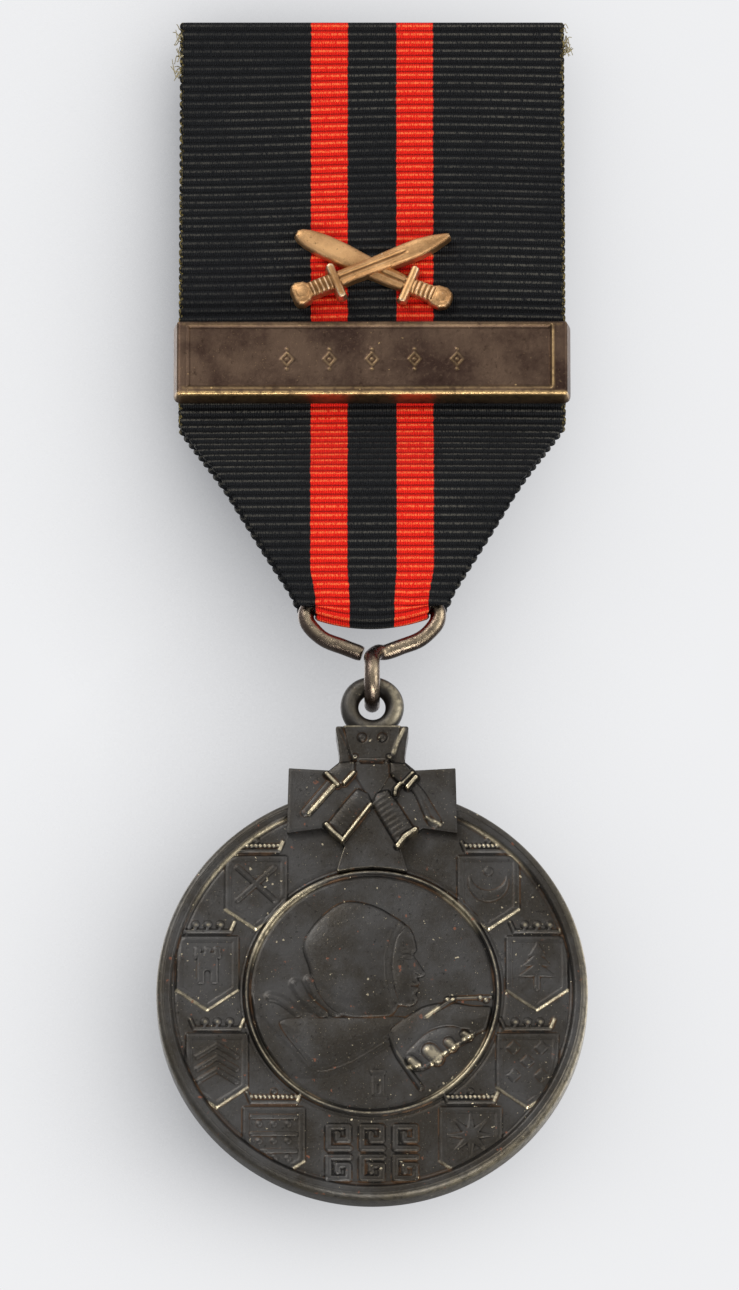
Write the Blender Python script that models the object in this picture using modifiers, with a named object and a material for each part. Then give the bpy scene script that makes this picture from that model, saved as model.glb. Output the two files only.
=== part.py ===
"""A military service medal: a round struck iron medal with a crowned trophy, hung by an eye and a bent wire
stirrup from a ribbon that carries a sliding bar clasp and crossed swords, with a pin brooch sewn behind its top.

Metres, +Z up. The medal faces -Y. The origin is on the brooch needle's line, where the cloth holds the medal."""

import math

import bmesh
import bpy
from mathutils import Euler, Matrix, Vector

MM = 0.001
TOUCH_GAP = 0.1 * MM  # between pieces that touch

# ribbon
RIBBON_WIDTH = 30.0 * MM
CLOTH = 0.5 * MM
LAYER_PITCH = 0.65 * MM  # between the middles of the front and back layers, where they lie together
RIBBON_FRONT_Y = -3.325 * MM  # middle of the front layer at the top
FORWARD_BOW = 0.8 * MM  # the front layer's first step forward, above the swords
FORWARD_KICK = 3.4 * MM  # and its second, just under the clasp
GATHER_WIDTH = 8.4 * MM  # across the fold that holds the stirrup

# medal
DISC_DIAMETER = 33.0 * MM
DISC_THICKNESS = 2.8 * MM
DISC_Z = -76.0 * MM
RIM_WIDTH = 0.55 * MM
RIM_CHAMFER = 0.45 * MM
FIELD_DEPTH = 0.35 * MM
MEDALLION_RADIUS = 9.8 * MM

# heights, measured up from the middle of the disc
RIBBON_TOP_Z = DISC_Z + 80.5 * MM
BOW_TOP_Z = DISC_Z + 68.0 * MM
BOW_BOTTOM_Z = DISC_Z + 63.0 * MM
SWORDS_Z = DISC_Z + 59.7 * MM
CLASP_Z = DISC_Z + 51.9 * MM
KICK_TOP_Z = DISC_Z + 47.9 * MM
TAPER_TOP_Z = DISC_Z + 46.9 * MM
KICK_BOTTOM_Z = DISC_Z + 40.4 * MM
SPREAD_BOTTOM_Z = DISC_Z + 36.0 * MM
TAPER_BOTTOM_Z = DISC_Z + 32.6 * MM
BAR_Z = DISC_Z + 31.6 * MM
FOLD_Z = DISC_Z + 30.75 * MM
SMALL_RING_Z = DISC_Z + 25.4 * MM
EYE_Z = DISC_Z + 23.2 * MM

# stirrup and eye
WIRE_RADIUS = 0.61 * MM
FOLD_RADIUS = 1.0 * MM  # middle of the cloth, round the stirrup's bar
BAR_Y = RIBBON_FRONT_Y - FORWARD_BOW - FORWARD_KICK + FOLD_RADIUS
SMALL_RING_RADIUS = 1.875 * MM
EYE_RADIUS = 1.74 * MM
EYE_WIRE_RADIUS = 0.71 * MM

# clasp
CLASP_WIDTH = 30.8 * MM
CLASP_HEIGHT = 6.6 * MM
CLASP_DEPTH = 1.5 * MM
CLASP_WALL = 0.5 * MM
CLASP_BORDER = 0.8 * MM
STRAP_HEIGHT = 3.2 * MM
STRAP_THICKNESS = 0.28 * MM

# swords
SWORD_LENGTH = 13.3 * MM
SWORD_TILT = math.radians(22)
SWORD_THICKNESS = 0.55 * MM
PRONG_OFFSET = 2.2 * MM
PRONG_WIDTH = 0.9 * MM
PRONG_THICKNESS = 0.3 * MM
PRONG_BEND = 2.6 * MM

# brooch
PLATE_SIZE = Vector((28.0, 0.7, 5.0)) * MM
PLATE_FRONT_Y = -2.3 * MM
NEEDLE_RADIUS = 0.4 * MM
RIVET_RADIUS = 0.4 * MM
NEEDLE_BORE_RADIUS = 0.46 * MM
HINGE_X = -11.0 * MM
CATCH_X = 10.0 * MM
NEEDLE_LENGTH = 22.4 * MM
STITCH_X = 6.5 * MM
STITCH_Z = 1.6 * MM
STITCH_SPAN = 1.6 * MM
THREAD_RADIUS = 0.25 * MM

FACING = Euler((math.pi / 2, 0, 0))  # an outline in X and Z, thick along Y
SIDEWAYS = Euler((math.pi / 2, 0, math.pi / 2))  # an outline in Y and Z, thick along X
LYING = Euler((0, 0, 0))  # an outline in X and Y, thick along Z

RIBBON_BACK_Y = RIBBON_FRONT_Y + LAYER_PITCH + CLOTH / 2
CARRIER_FRONT_Y = RIBBON_FRONT_Y - FORWARD_BOW - CLOTH / 2  # the ribbon's face under the swords and the clasp
CARRIER_BACK_Y = RIBBON_FRONT_Y - FORWARD_BOW + LAYER_PITCH + CLOTH / 2


def clear_scene():
    for thing in list(bpy.data.objects):
        bpy.data.objects.remove(thing)


def collection(name):
    made = bpy.data.collections.new(name)
    bpy.context.scene.collection.children.link(made)
    return made


def material(name, colour, roughness, metallic):
    made = bpy.data.materials.new(name)
    made.use_nodes = True
    shader = made.node_tree.nodes["Principled BSDF"]
    shader.inputs["Base Color"].default_value = (*colour, 1)
    shader.inputs["Roughness"].default_value = roughness
    shader.inputs["Metallic"].default_value = metallic
    made.diffuse_color = (*colour, 1)
    return made


def add(name, data, finish=None):
    """A new object in the medal's collection."""
    made = bpy.data.objects.new(name, data)
    if finish:
        data.materials.append(finish)
    medal_parts.objects.link(made)
    return made


def as_tool(thing):
    """Moves an object to the cutters, as a guide for a Boolean."""
    medal_parts.objects.unlink(thing)
    cutters.objects.link(thing)
    thing.hide_render = True
    thing.display_type = "WIRE"
    return thing


def from_bmesh(name, shape, finish=None):
    data = bpy.data.meshes.new(name)
    bmesh.ops.recalc_face_normals(shape, faces=shape.faces)
    shape.to_mesh(data)
    shape.free()
    return add(name, data, finish)


def block(name, size, centre, finish=None):
    shape = bmesh.new()
    bmesh.ops.create_cube(shape, size=1, matrix=Matrix.Translation(centre) @ Matrix.Diagonal((*size, 1)))
    return from_bmesh(name, shape, finish)


def rod(name, start, end, radius, end_radius=None, segments=20, finish=None):
    """A round bar or cone from start to end."""
    along = Vector(end) - Vector(start)
    turn = along.to_track_quat("Z", "Y").to_matrix().to_4x4()
    place = Matrix.Translation((Vector(start) + Vector(end)) / 2) @ turn
    shape = bmesh.new()
    bmesh.ops.create_cone(
        shape, cap_ends=True, segments=segments, radius1=radius, matrix=place, depth=along.length,
        radius2=radius if end_radius is None else end_radius,
    )
    return smooth(from_bmesh(name, shape, finish))


def smooth(thing, angle=35):
    thing.data.shade_smooth()
    thing.data.set_sharp_from_angle(angle=math.radians(angle))
    return thing


def plate(name, outline, thickness, facing, place, finish=None):
    """A flat piece: a closed outline with its middle plane at place."""
    data = bpy.data.curves.new(name, "CURVE")
    data.dimensions = "2D"
    data.fill_mode = "BOTH"
    data.extrude = thickness / 2
    line = data.splines.new("POLY")
    line.points.add(len(outline) - 1)
    for point, (x, y) in zip(line.points, outline):
        point.co = (x, y, 0, 1)
    line.use_cyclic_u = True
    made = add(name, data, finish)
    made.rotation_euler = facing
    made.location = place
    return made


def tube(name, route, radius, resolution, finish):
    data = bpy.data.curves.new(name, "CURVE")
    data.dimensions = "3D"
    data.bevel_depth = radius
    data.bevel_resolution = resolution
    data.use_fill_caps = True
    line = data.splines.new("POLY")
    line.points.add(len(route) - 1)
    for point, place in zip(line.points, route):
        point.co = (*place, 1)
        point.radius = 1
    line.use_smooth = True
    return add(name, data, finish)


def turned(name, profile, steps, finish=None):
    """A shape turned round Z from (radius, height) points that run from the top down the outer side."""
    shape = bmesh.new()
    points = [shape.verts.new((radius, 0, z)) for radius, z in profile]
    for first, second in zip(points, points[1:]):
        shape.edges.new((first, second))
    data = bpy.data.meshes.new(name)
    shape.to_mesh(data)
    shape.free()
    made = add(name, data, finish)
    turn = made.modifiers.new("turn", "SCREW")
    turn.steps = turn.render_steps = steps
    turn.use_merge_vertices = True
    turn.merge_threshold = 0.00001
    turn.use_smooth_shade = True
    return made


def as_mesh(thing):
    """Turns a curve into a mesh object, so that it can be cut or joined."""
    bpy.context.view_layer.update()
    data = bpy.data.meshes.new_from_object(thing.evaluated_get(bpy.context.evaluated_depsgraph_get()))
    shape = bmesh.new()
    shape.from_mesh(data)
    bmesh.ops.remove_doubles(shape, verts=shape.verts, dist=0.000001)
    shape.to_mesh(data)
    shape.free()
    name, place, finish = thing.name, thing.matrix_world.copy(), thing.active_material
    bpy.data.objects.remove(thing)
    made = add(name, data)
    made.matrix_world = place
    if finish and not data.materials:
        data.materials.append(finish)
    return made


def boolean(thing, tool, operation):
    step = thing.modifiers.new(f"{operation.lower()} {tool.name}", "BOOLEAN")
    step.object = as_tool(tool)
    step.operation = operation
    step.solver = "EXACT"


def smoothstep(value):
    value = min(1, max(0, value))
    return value * value * (3 - 2 * value)


def between(top, bottom, z):
    """0 at top, 1 at bottom, easing at both ends."""
    return smoothstep((top - z) / (top - bottom))


def mirrored(half):
    """A symmetric outline from the points of its right half, which run from top to bottom."""
    return half + [(-x, y) for x, y in reversed(half) if x > 0]


def smooth_route(points, pieces):
    """Points on a smooth curve through the given ones."""
    knots = [Vector(p) for p in points]
    knots = [2 * knots[0] - knots[1], *knots, 2 * knots[-1] - knots[-2]]
    route = []
    for a, b, c, d in zip(knots, knots[1:], knots[2:], knots[3:]):
        for step in range(pieces):
            t = step / pieces
            route.append(0.5 * (
                2 * b + (c - a) * t + (2 * a - 5 * b + 4 * c - d) * t**2 + (3 * b - a - 3 * c + d) * t**3
            ))
    return [*route, knots[-2]]


# ribbon


def front_layer_y(z):
    bow = FORWARD_BOW * between(BOW_TOP_Z, BOW_BOTTOM_Z, z)
    kick = FORWARD_KICK * between(KICK_TOP_Z, KICK_BOTTOM_Z, z)
    return RIBBON_FRONT_Y - bow - kick


def back_layer_y(z):
    spread = (2 * FOLD_RADIUS - LAYER_PITCH) * between(KICK_TOP_Z, SPREAD_BOTTOM_Z, z)
    return front_layer_y(z) + LAYER_PITCH + spread


def half_width(z):
    """Full width down to the taper, then straight in to the corners that clear the stirrup, then the gather."""
    if z >= TAPER_TOP_Z:
        return RIBBON_WIDTH / 2
    corner = 6.1 * MM
    if z >= TAPER_BOTTOM_Z:
        share = (TAPER_TOP_Z - z) / (TAPER_TOP_Z - TAPER_BOTTOM_Z)
        return RIBBON_WIDTH / 2 + (corner - RIBBON_WIDTH / 2) * share
    return GATHER_WIDTH / 2


def layer_heights():
    """Heights of the ribbon's rows, closer where it bends."""
    stretches = [
        (RIBBON_TOP_Z, BOW_TOP_Z, 2), (BOW_TOP_Z, BOW_BOTTOM_Z, 5), (BOW_BOTTOM_Z, KICK_TOP_Z, 3),
        (KICK_TOP_Z, TAPER_TOP_Z, 2), (TAPER_TOP_Z, KICK_BOTTOM_Z, 7), (KICK_BOTTOM_Z, SPREAD_BOTTOM_Z, 4),
        (SPREAD_BOTTOM_Z, TAPER_BOTTOM_Z, 2),
    ]
    rows = [top + (bottom - top) * i / count for top, bottom, count in stretches for i in range(count)]
    return [*rows, TAPER_BOTTOM_Z, TAPER_BOTTOM_Z - 0.2 * MM]


def ribbon_rows():
    """Each row of the strip as a function of the place across it, -1 to 1: down the front, under, up the back."""
    heights = layer_heights()
    turns = 10
    gather_lift = 0.8 * MM  # the fold's ends sit higher than its middle

    def layer(z, depth):
        return lambda across: (across * half_width(z), depth(z), z)

    def fold(angle):
        def point(across):
            centre = FOLD_Z + gather_lift * across * across
            y = BAR_Y - FOLD_RADIUS * math.cos(angle)
            return (across * GATHER_WIDTH / 2, y, centre - FOLD_RADIUS * math.sin(angle))
        return point

    rows = [layer(z, front_layer_y) for z in heights]
    rows += [fold(math.pi * i / turns) for i in range(turns + 1)]
    rows += [layer(z, back_layer_y) for z in reversed(heights)]
    return rows


def make_ribbon():
    rows = ribbon_rows()
    columns = 12
    shape = bmesh.new()
    bmesh.ops.create_grid(shape, x_segments=columns, y_segments=len(rows) - 1, size=1)
    for vertex in shape.verts:
        row = round((vertex.co.y + 1) / 2 * (len(rows) - 1))
        vertex.co = rows[row](vertex.co.x)
    ribbon = from_bmesh("ribbon", shape, finishes["ribbon"])
    thicken = ribbon.modifiers.new("cloth", "SOLIDIFY")
    thicken.thickness = CLOTH
    thicken.offset = 0
    smooth(ribbon, 50)
    for side in (-1, 1):
        slit = Vector((PRONG_THICKNESS + 0.3 * MM, 4 * MM, PRONG_WIDTH + 0.3 * MM))
        boolean(ribbon, block(f"slit_{side}", slit, prong_root(side)), "DIFFERENCE")


# crossed swords


def prong_root(side):
    """Where a prong leaves the back of the straight sword, at the carrier's front face."""
    return Vector((side * PRONG_OFFSET, CARRIER_FRONT_Y, SWORDS_Z + side * PRONG_OFFSET * math.tan(SWORD_TILT)))


def sword_outline(bend):
    """A sword from pommel to point along X, its blade bent sideways by bend at the point."""
    half = SWORD_LENGTH / 2
    grip_end = -half + 3.6 * MM
    lower = [
        (-half, -0.45 * MM), (-half + 0.5 * MM, -0.85 * MM), (-half + 1.2 * MM, -0.6 * MM),
        (grip_end, -0.55 * MM), (grip_end, -1.55 * MM), (grip_end + 0.8 * MM, -1.55 * MM),
        (grip_end + 0.8 * MM, -0.65 * MM),
    ]
    upper = [(x, -y) for x, y in reversed(lower)]
    start = grip_end + 0.8 * MM
    reach = half - start
    steps = 8

    def blade(width_sign):
        points = []
        for i in range(1, steps):
            t = i / steps
            width = 0.62 * MM * (1 - 0.75 * t**3)
            points.append((start + reach * t, bend * t * t + width_sign * width))
        return points

    return lower + blade(-1) + [(half, bend)] + list(reversed(blade(1))) + upper


def make_swords():
    back = CARRIER_FRONT_Y - TOUCH_GAP
    straight_y = back - SWORD_THICKNESS
    sabre_y = back - SWORD_THICKNESS / 2
    lift = -0.3 * MM
    sabre = plate("sabre", sword_outline(1.0 * MM), SWORD_THICKNESS, FACING, (0, sabre_y, SWORDS_Z + lift))
    sabre.scale.x = -1
    sabre.rotation_euler.y = SWORD_TILT
    sabre = as_mesh(sabre)
    sabre.data.transform(sabre.matrix_world)
    sabre.matrix_world = Matrix()
    sabre.data.flip_normals()
    swords = plate(
        "crossed_swords", sword_outline(0), 2 * SWORD_THICKNESS, FACING, (0, straight_y, SWORDS_Z), finishes["gilt"]
    )
    swords.rotation_euler.y = -SWORD_TILT
    swords = as_mesh(swords)
    boolean(swords, sabre, "UNION")


def make_prongs():
    """Two flat prongs that go through the ribbon and are bent outwards behind it."""
    behind = CARRIER_BACK_Y + TOUCH_GAP
    for side, name in ((-1, "swords_prong_left"), (1, "swords_prong_right")):
        root = prong_root(side)
        half = PRONG_THICKNESS / 2
        front = CARRIER_FRONT_Y - TOUCH_GAP / 2
        outline = [
            (-half, front), (half, front), (half, behind), (half + PRONG_BEND, behind),
            (half + PRONG_BEND, behind + PRONG_THICKNESS), (-half, behind + PRONG_THICKNESS),
        ]
        outline = [(side * x, y) for x, y in outline]
        plate(name, outline, PRONG_WIDTH, LYING, (root.x, 0, root.z), finishes["gilt"])


# clasp


def make_clasp_bar():
    """A pressed tray with sloping sides, a raised border round its face and an open back."""
    back = CARRIER_FRONT_Y - TOUCH_GAP
    middle = (0, back - CLASP_DEPTH / 2, CLASP_Z)
    bar = block("clasp_bar", (CLASP_WIDTH, CLASP_DEPTH, CLASP_HEIGHT), middle, finishes["bronze"])
    shape = bmesh.new()
    shape.from_mesh(bar.data)
    for vertex in shape.verts:
        if vertex.co.y < middle[1]:
            vertex.co.x -= math.copysign(0.5 * MM, vertex.co.x)
            vertex.co.z -= math.copysign(0.3 * MM, vertex.co.z - CLASP_Z)
    for side, border, depth in ((-1, CLASP_BORDER, 0.3 * MM), (1, CLASP_WALL, 0.9 * MM)):
        face = next(f for f in shape.faces if f.normal.y * side > 0.9)
        bmesh.ops.inset_region(shape, faces=[face], thickness=border, use_even_offset=True)
        pushed = bmesh.ops.extrude_face_region(shape, geom=[face])
        sunk = [v for v in pushed["geom"] if isinstance(v, bmesh.types.BMVert)]
        bmesh.ops.delete(shape, geom=[face], context="FACES_ONLY")
        bmesh.ops.translate(shape, verts=sunk, vec=(0, -side * depth, 0))
    bmesh.ops.recalc_face_normals(shape, faces=shape.faces)
    shape.to_mesh(bar.data)
    shape.free()
    round_edges(bar, 0.12 * MM)


def make_clasp_strap():
    """A strip behind the ribbon whose ends turn forward round its edges, onto the tray's rim."""
    outer = CLASP_WIDTH / 2
    inner = outer - STRAP_THICKNESS
    front = CARRIER_FRONT_Y - TOUCH_GAP / 2
    behind = CARRIER_BACK_Y + TOUCH_GAP
    outline = [
        (-outer, front), (-inner, front), (-inner, behind), (inner, behind), (inner, front), (outer, front),
        (outer, behind + STRAP_THICKNESS), (-outer, behind + STRAP_THICKNESS),
    ]
    plate("clasp_back_strap", outline, STRAP_HEIGHT, LYING, (0, 0, CLASP_Z), finishes["bronze"])


def round_edges(thing, width, segments=2):
    bevel = thing.modifiers.new("rounded edges", "BEVEL")
    bevel.width = width
    bevel.segments = segments
    bevel.limit_method = "ANGLE"
    bevel.angle_limit = math.radians(40)


# stirrup


def make_stirrup():
    """One wire: from its free end at the middle, up the left arm, along the bar in the ribbon's fold, down the
    right arm and into the small ring that holds the medal's eye. Points are across, forward and down from the
    bar's middle."""
    arm = [(5.1, 0, 0.9), (4.85, 0, 1.75), (3.75, 0, 2.85), (2.2, 0, 3.5)]
    corner = [(4.2, 0, 0), (4.84, 0, 0.26)]
    left = [(-x, y, z) for x, y, z in [*corner, *arm]]
    route = [(-0.85, 0, 4.05), *reversed(left), (-2, 0, 0), (0, 0, 0), (2, 0, 0), *corner, *arm]
    route += [(1.05, 0.02, 3.93), (0.42, 0.36, 4.06)]
    route = [Vector((x, -forward, -down)) * MM for x, forward, down in route]
    ring_drop = SMALL_RING_Z - BAR_Z
    for degrees in range(35, 326, 29):
        angle = math.radians(degrees)
        y = -SMALL_RING_RADIUS * math.sin(angle)
        route.append(Vector((0, y, ring_drop + SMALL_RING_RADIUS * math.cos(angle))))
    bar = Vector((0, BAR_Y, BAR_Z))
    places = [bar + point for point in smooth_route(route, 3)]
    tube("suspension_wire", places, WIRE_RADIUS, 3, finishes["wire"])


# medal


def trophy_outline():
    """A crown over an equal-armed cross whose foot flares down to the medallion's ring."""
    half = [
        (2.76, 21.4), (2.5, 18.5), (3.3, 17.6), (6.35, 17.8), (6.5, 12.7), (3.7, 12.95), (2.2, 11.6), (2.75, 9.9),
    ]
    return mirrored([(x * MM, z * MM) for x, z in half])


def disc_profile():
    """From the middle of the face out over the medallion's ring and the rim, and back to the middle behind."""
    radius, top = DISC_DIAMETER / 2, DISC_THICKNESS / 2
    field = top - FIELD_DEPTH
    ring = 0.25 * MM
    inside_rim = radius - RIM_CHAMFER - RIM_WIDTH
    return [
        (0, field), (MEDALLION_RADIUS - 2 * ring, field), (MEDALLION_RADIUS - ring, top),
        (MEDALLION_RADIUS + ring, top), (MEDALLION_RADIUS + 2 * ring, field), (inside_rim - 0.3 * MM, field),
        (inside_rim, top), (radius - RIM_CHAMFER, top), (radius, top - RIM_CHAMFER),
        (radius, RIM_CHAMFER - top), (radius - RIM_CHAMFER, -top), (0, -top),
    ]


def make_disc():
    disc = turned("medal_disc", disc_profile(), 80, finishes["iron"])
    disc.rotation_euler = FACING
    disc.location = (0, BAR_Y, DISC_Z)
    back = BAR_Y + DISC_THICKNESS / 2 - 0.2 * MM
    front = BAR_Y - DISC_THICKNESS / 2 - 0.25 * MM
    trophy = plate("trophy", trophy_outline(), back - front, FACING, (0, (back + front) / 2, DISC_Z))
    boolean(disc, as_mesh(trophy), "UNION")
    for side in (-1, 1):
        arm = block(f"gauntlet_{side}", Vector((2.1, 2.0, 7.2)) * MM, (0, 0, 0))
        arm.data.transform(Matrix.Rotation(side * math.radians(36), 4, "Y"))
        arm.location = (side * 0.06 * MM, front + 0.5 * MM + side * 0.04 * MM, DISC_Z + 14.9 * MM)
        boolean(disc, arm, "UNION")
    half_slot = Vector((0, EYE_WIRE_RADIUS + TOUCH_GAP, 0))
    middle = Vector((0, BAR_Y, EYE_Z))
    seat_radius = EYE_RADIUS + EYE_WIRE_RADIUS + TOUCH_GAP
    seat = rod("eye_seat", middle - half_slot, middle + half_slot, seat_radius, segments=40)
    boolean(disc, seat, "DIFFERENCE")


def make_eye():
    bpy.ops.mesh.primitive_torus_add(
        major_radius=EYE_RADIUS, minor_radius=EYE_WIRE_RADIUS, major_segments=32, minor_segments=12
    )
    eye = bpy.context.object
    eye.name = "medal_eye"
    eye.rotation_euler = FACING
    eye.location = (0, BAR_Y, EYE_Z)
    for holder in eye.users_collection:
        holder.objects.unlink(eye)
    medal_parts.objects.link(eye)
    eye.data.materials.append(finishes["iron"])
    smooth(eye)


# brooch


def stadium(length, height, steps=6):
    """A bar outline with round ends."""
    radius = height / 2
    points = []
    for side in (1, -1):
        for i in range(steps + 1):
            angle = math.pi * (i / steps - 0.5) + (0 if side > 0 else math.pi)
            points.append((side * (length / 2 - radius) + radius * math.cos(angle), radius * math.sin(angle)))
    return points


def make_plate():
    middle_y = PLATE_FRONT_Y + PLATE_SIZE.y / 2
    back_plate = plate(
        "brooch_plate", stadium(PLATE_SIZE.x, PLATE_SIZE.z), PLATE_SIZE.y, FACING, (0, middle_y, 0), finishes["brass"]
    )
    back_plate = as_mesh(back_plate)
    for x, z in stitch_places():
        for end in (-1, 1):
            middle = Vector((x + end * STITCH_SPAN / 2, middle_y, z))
            reach = Vector((0, PLATE_SIZE.y, 0))
            hole = rod("thread_hole", middle - reach, middle + reach, THREAD_RADIUS + 0.12 * MM, segments=12)
            boolean(back_plate, hole, "DIFFERENCE")


def stitch_places():
    return [(x, z) for x in (-STITCH_X, STITCH_X) for z in (-STITCH_Z, STITCH_Z)]


def make_stitches():
    """Thread that comes through the plate's paired holes and lies across its back."""
    back = PLATE_FRONT_Y + PLATE_SIZE.y + TOUCH_GAP / 2 + THREAD_RADIUS
    names = ["stitch_lower_left", "stitch_upper_left", "stitch_lower_right", "stitch_upper_right"]
    for name, (x, z) in zip(names, stitch_places()):
        half = STITCH_SPAN / 2
        bend = 0.22 * MM
        route = [
            (x - half, PLATE_FRONT_Y, z), (x - half, back - bend, z), (x - half + bend, back, z),
            (x + half - bend, back, z), (x + half, back - bend, z), (x + half, PLATE_FRONT_Y, z),
        ]
        tube(name, route, THREAD_RADIUS, 2, finishes["thread"])


def make_hinge_bracket():
    """A channel of bent strip soldered to the plate, with two cheeks for the rivet."""
    foot = PLATE_FRONT_Y + PLATE_SIZE.y + TOUCH_GAP
    strip = 0.4 * MM
    inside, outside, reach = 1.05 * MM, 1.45 * MM, 0.9 * MM
    outline = [
        (foot, -outside), (reach, -outside), (reach, -inside), (foot + strip, -inside),
        (foot + strip, inside), (reach, inside), (reach, outside), (foot, outside),
    ]
    bracket = plate("brooch_hinge_bracket", outline, 2.4 * MM, SIDEWAYS, (HINGE_X, 0, 0), finishes["brass"])
    bracket = as_mesh(bracket)
    bore = rod("rivet_bore", (HINGE_X, 0, -2 * MM), (HINGE_X, 0, 2 * MM), RIVET_RADIUS + 0.05 * MM)
    boolean(bracket, bore, "DIFFERENCE")


def make_rivet():
    head, shank = 0.75 * MM, 1.5 * MM
    top = shank + 0.35 * MM
    profile = [
        (0, top), (head * 0.6, top), (head, shank + 0.12 * MM), (head, shank), (RIVET_RADIUS, shank),
        (RIVET_RADIUS, -shank), (head, -shank), (head, -shank - 0.12 * MM), (head * 0.6, -top), (0, -top),
    ]
    rivet = turned("brooch_rivet", profile, 20, finishes["brass"])
    rivet.location.x = HINGE_X


def make_needle():
    """A steel needle with a flat eye round the rivet; its origin is on the rivet's axis."""
    half_eye = 0.85 * MM
    needle = rod(
        "brooch_needle", (0, 0, -half_eye), (0, 0, half_eye), 0.95 * MM, segments=28, finish=finishes["steel"]
    )
    shoulder, point = 17.5 * MM, NEEDLE_LENGTH
    boolean(needle, rod("needle_shaft", (0.7 * MM, 0, 0), (shoulder, 0, 0), NEEDLE_RADIUS), "UNION")
    taper = rod("needle_point", (shoulder - 0.02 * MM, 0, 0), (point, 0, 0), NEEDLE_RADIUS * 0.98, 0.06 * MM)
    boolean(needle, taper, "UNION")
    bore = rod("needle_bore", (0, 0, -2 * MM), (0, 0, 2 * MM), NEEDLE_BORE_RADIUS)
    boolean(needle, bore, "DIFFERENCE")
    for thing in (needle, *(step.object for step in needle.modifiers)):
        thing.location.x += HINGE_X


def make_catch():
    """A bent strip whose lip the needle's end springs up behind."""
    foot = PLATE_FRONT_Y + PLATE_SIZE.y + TOUCH_GAP
    strip = 0.4 * MM
    under, over, lip, reach = 0.9 * MM, 1.3 * MM, 0.5 * MM, 0.95 * MM
    outline = [
        (foot, -1.6 * MM), (foot + strip, -1.6 * MM), (foot + strip, under), (reach - strip, under),
        (reach - strip, lip), (reach, lip), (reach, over), (foot, over),
    ]
    plate("brooch_catch", outline, 2.2 * MM, SIDEWAYS, (CATCH_X, 0, 0), finishes["brass"])


clear_scene()
medal_parts = collection("military_service_medal")
cutters = collection("cutters")
finishes = {
    "ribbon": material("ribbon_cloth", (0.016, 0.016, 0.017), 0.85, 0),
    "thread": material("sewing_thread", (0.02, 0.02, 0.02), 0.8, 0),
    "gilt": material("gilt_bronze", (0.52, 0.32, 0.15), 0.42, 1),
    "bronze": material("patinated_bronze", (0.11, 0.075, 0.048), 0.48, 1),
    "brass": material("brooch_brass", (0.42, 0.29, 0.12), 0.4, 1),
    "steel": material("needle_steel", (0.5, 0.5, 0.5), 0.3, 1),
    "wire": material("tarnished_wire", (0.2, 0.16, 0.12), 0.32, 1),
    "iron": material("blackened_iron", (0.055, 0.05, 0.044), 0.45, 1),
}
make_ribbon()
make_plate()
make_stitches()
make_hinge_bracket()
make_rivet()
make_needle()
make_catch()
make_swords()
make_prongs()
make_clasp_bar()
make_clasp_strap()
make_stirrup()
make_disc()
make_eye()
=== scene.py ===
import math

import bmesh
import bpy
import numpy as np
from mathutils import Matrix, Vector


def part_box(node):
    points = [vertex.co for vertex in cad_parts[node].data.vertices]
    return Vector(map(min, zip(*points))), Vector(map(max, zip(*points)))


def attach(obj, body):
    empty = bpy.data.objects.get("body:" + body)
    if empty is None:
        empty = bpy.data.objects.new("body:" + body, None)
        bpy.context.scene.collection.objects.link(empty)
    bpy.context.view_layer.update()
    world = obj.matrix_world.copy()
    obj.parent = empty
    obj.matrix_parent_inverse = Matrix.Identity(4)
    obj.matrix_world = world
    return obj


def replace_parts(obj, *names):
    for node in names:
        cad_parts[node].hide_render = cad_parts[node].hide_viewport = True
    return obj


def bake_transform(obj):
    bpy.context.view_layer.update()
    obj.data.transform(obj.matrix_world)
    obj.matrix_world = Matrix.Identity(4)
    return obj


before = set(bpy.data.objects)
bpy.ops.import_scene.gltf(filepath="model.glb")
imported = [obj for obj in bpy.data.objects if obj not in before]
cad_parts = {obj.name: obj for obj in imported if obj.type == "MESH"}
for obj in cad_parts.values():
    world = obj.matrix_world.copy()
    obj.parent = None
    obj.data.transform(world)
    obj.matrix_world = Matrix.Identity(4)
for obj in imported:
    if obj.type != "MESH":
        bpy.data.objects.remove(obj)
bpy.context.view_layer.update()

MM = 0.001

# sizes repeated from the CAD, in millimetres; heights are measured up from the middle of the disc
DISC_Z = -76.0
MEDAL_Y = -6.525  # the medal's middle plane, and the stirrup's bar
FIELD_Y = MEDAL_Y - 1.05
TROPHY_Y = MEDAL_Y - 1.65
REVERSE_Y = MEDAL_Y + 1.4
DISC_RADIUS = 16.5
RIBBON_TOP, BOW_TOP, BOW_BOTTOM, KICK_TOP, TAPER_TOP = 80.5, 68.0, 63.0, 47.9, 46.9
KICK_BOTTOM, SPREAD_BOTTOM, TAPER_BOTTOM, BAR, FOLD = 40.4, 36.0, 32.6, 31.6, 30.75
SWORDS, CLASP, SMALL_RING, EYE = 59.7, 51.9, 25.4, 23.2
RIBBON_Y, BOW, KICK, LAYER_PITCH = -3.325, 0.8, 3.4, 0.65
CARRIER_Y = RIBBON_Y - BOW - 0.25  # the ribbon's face under the swords and the clasp


# camera, lights and stage

disc_low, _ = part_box("medal_disc")
disc_face = Vector((0, disc_low.y, disc_low.z + DISC_RADIUS * MM))
CAMERA_DISTANCE = 1.2
CAMERA_BELOW = math.radians(18)  # the camera looks up at the medal's face by this much
PICTURE_HEIGHT = 98.5 * MM
AIM_ABOVE_DISC, AIM_LEFT = 26.2 * MM, 0.2 * MM


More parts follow.
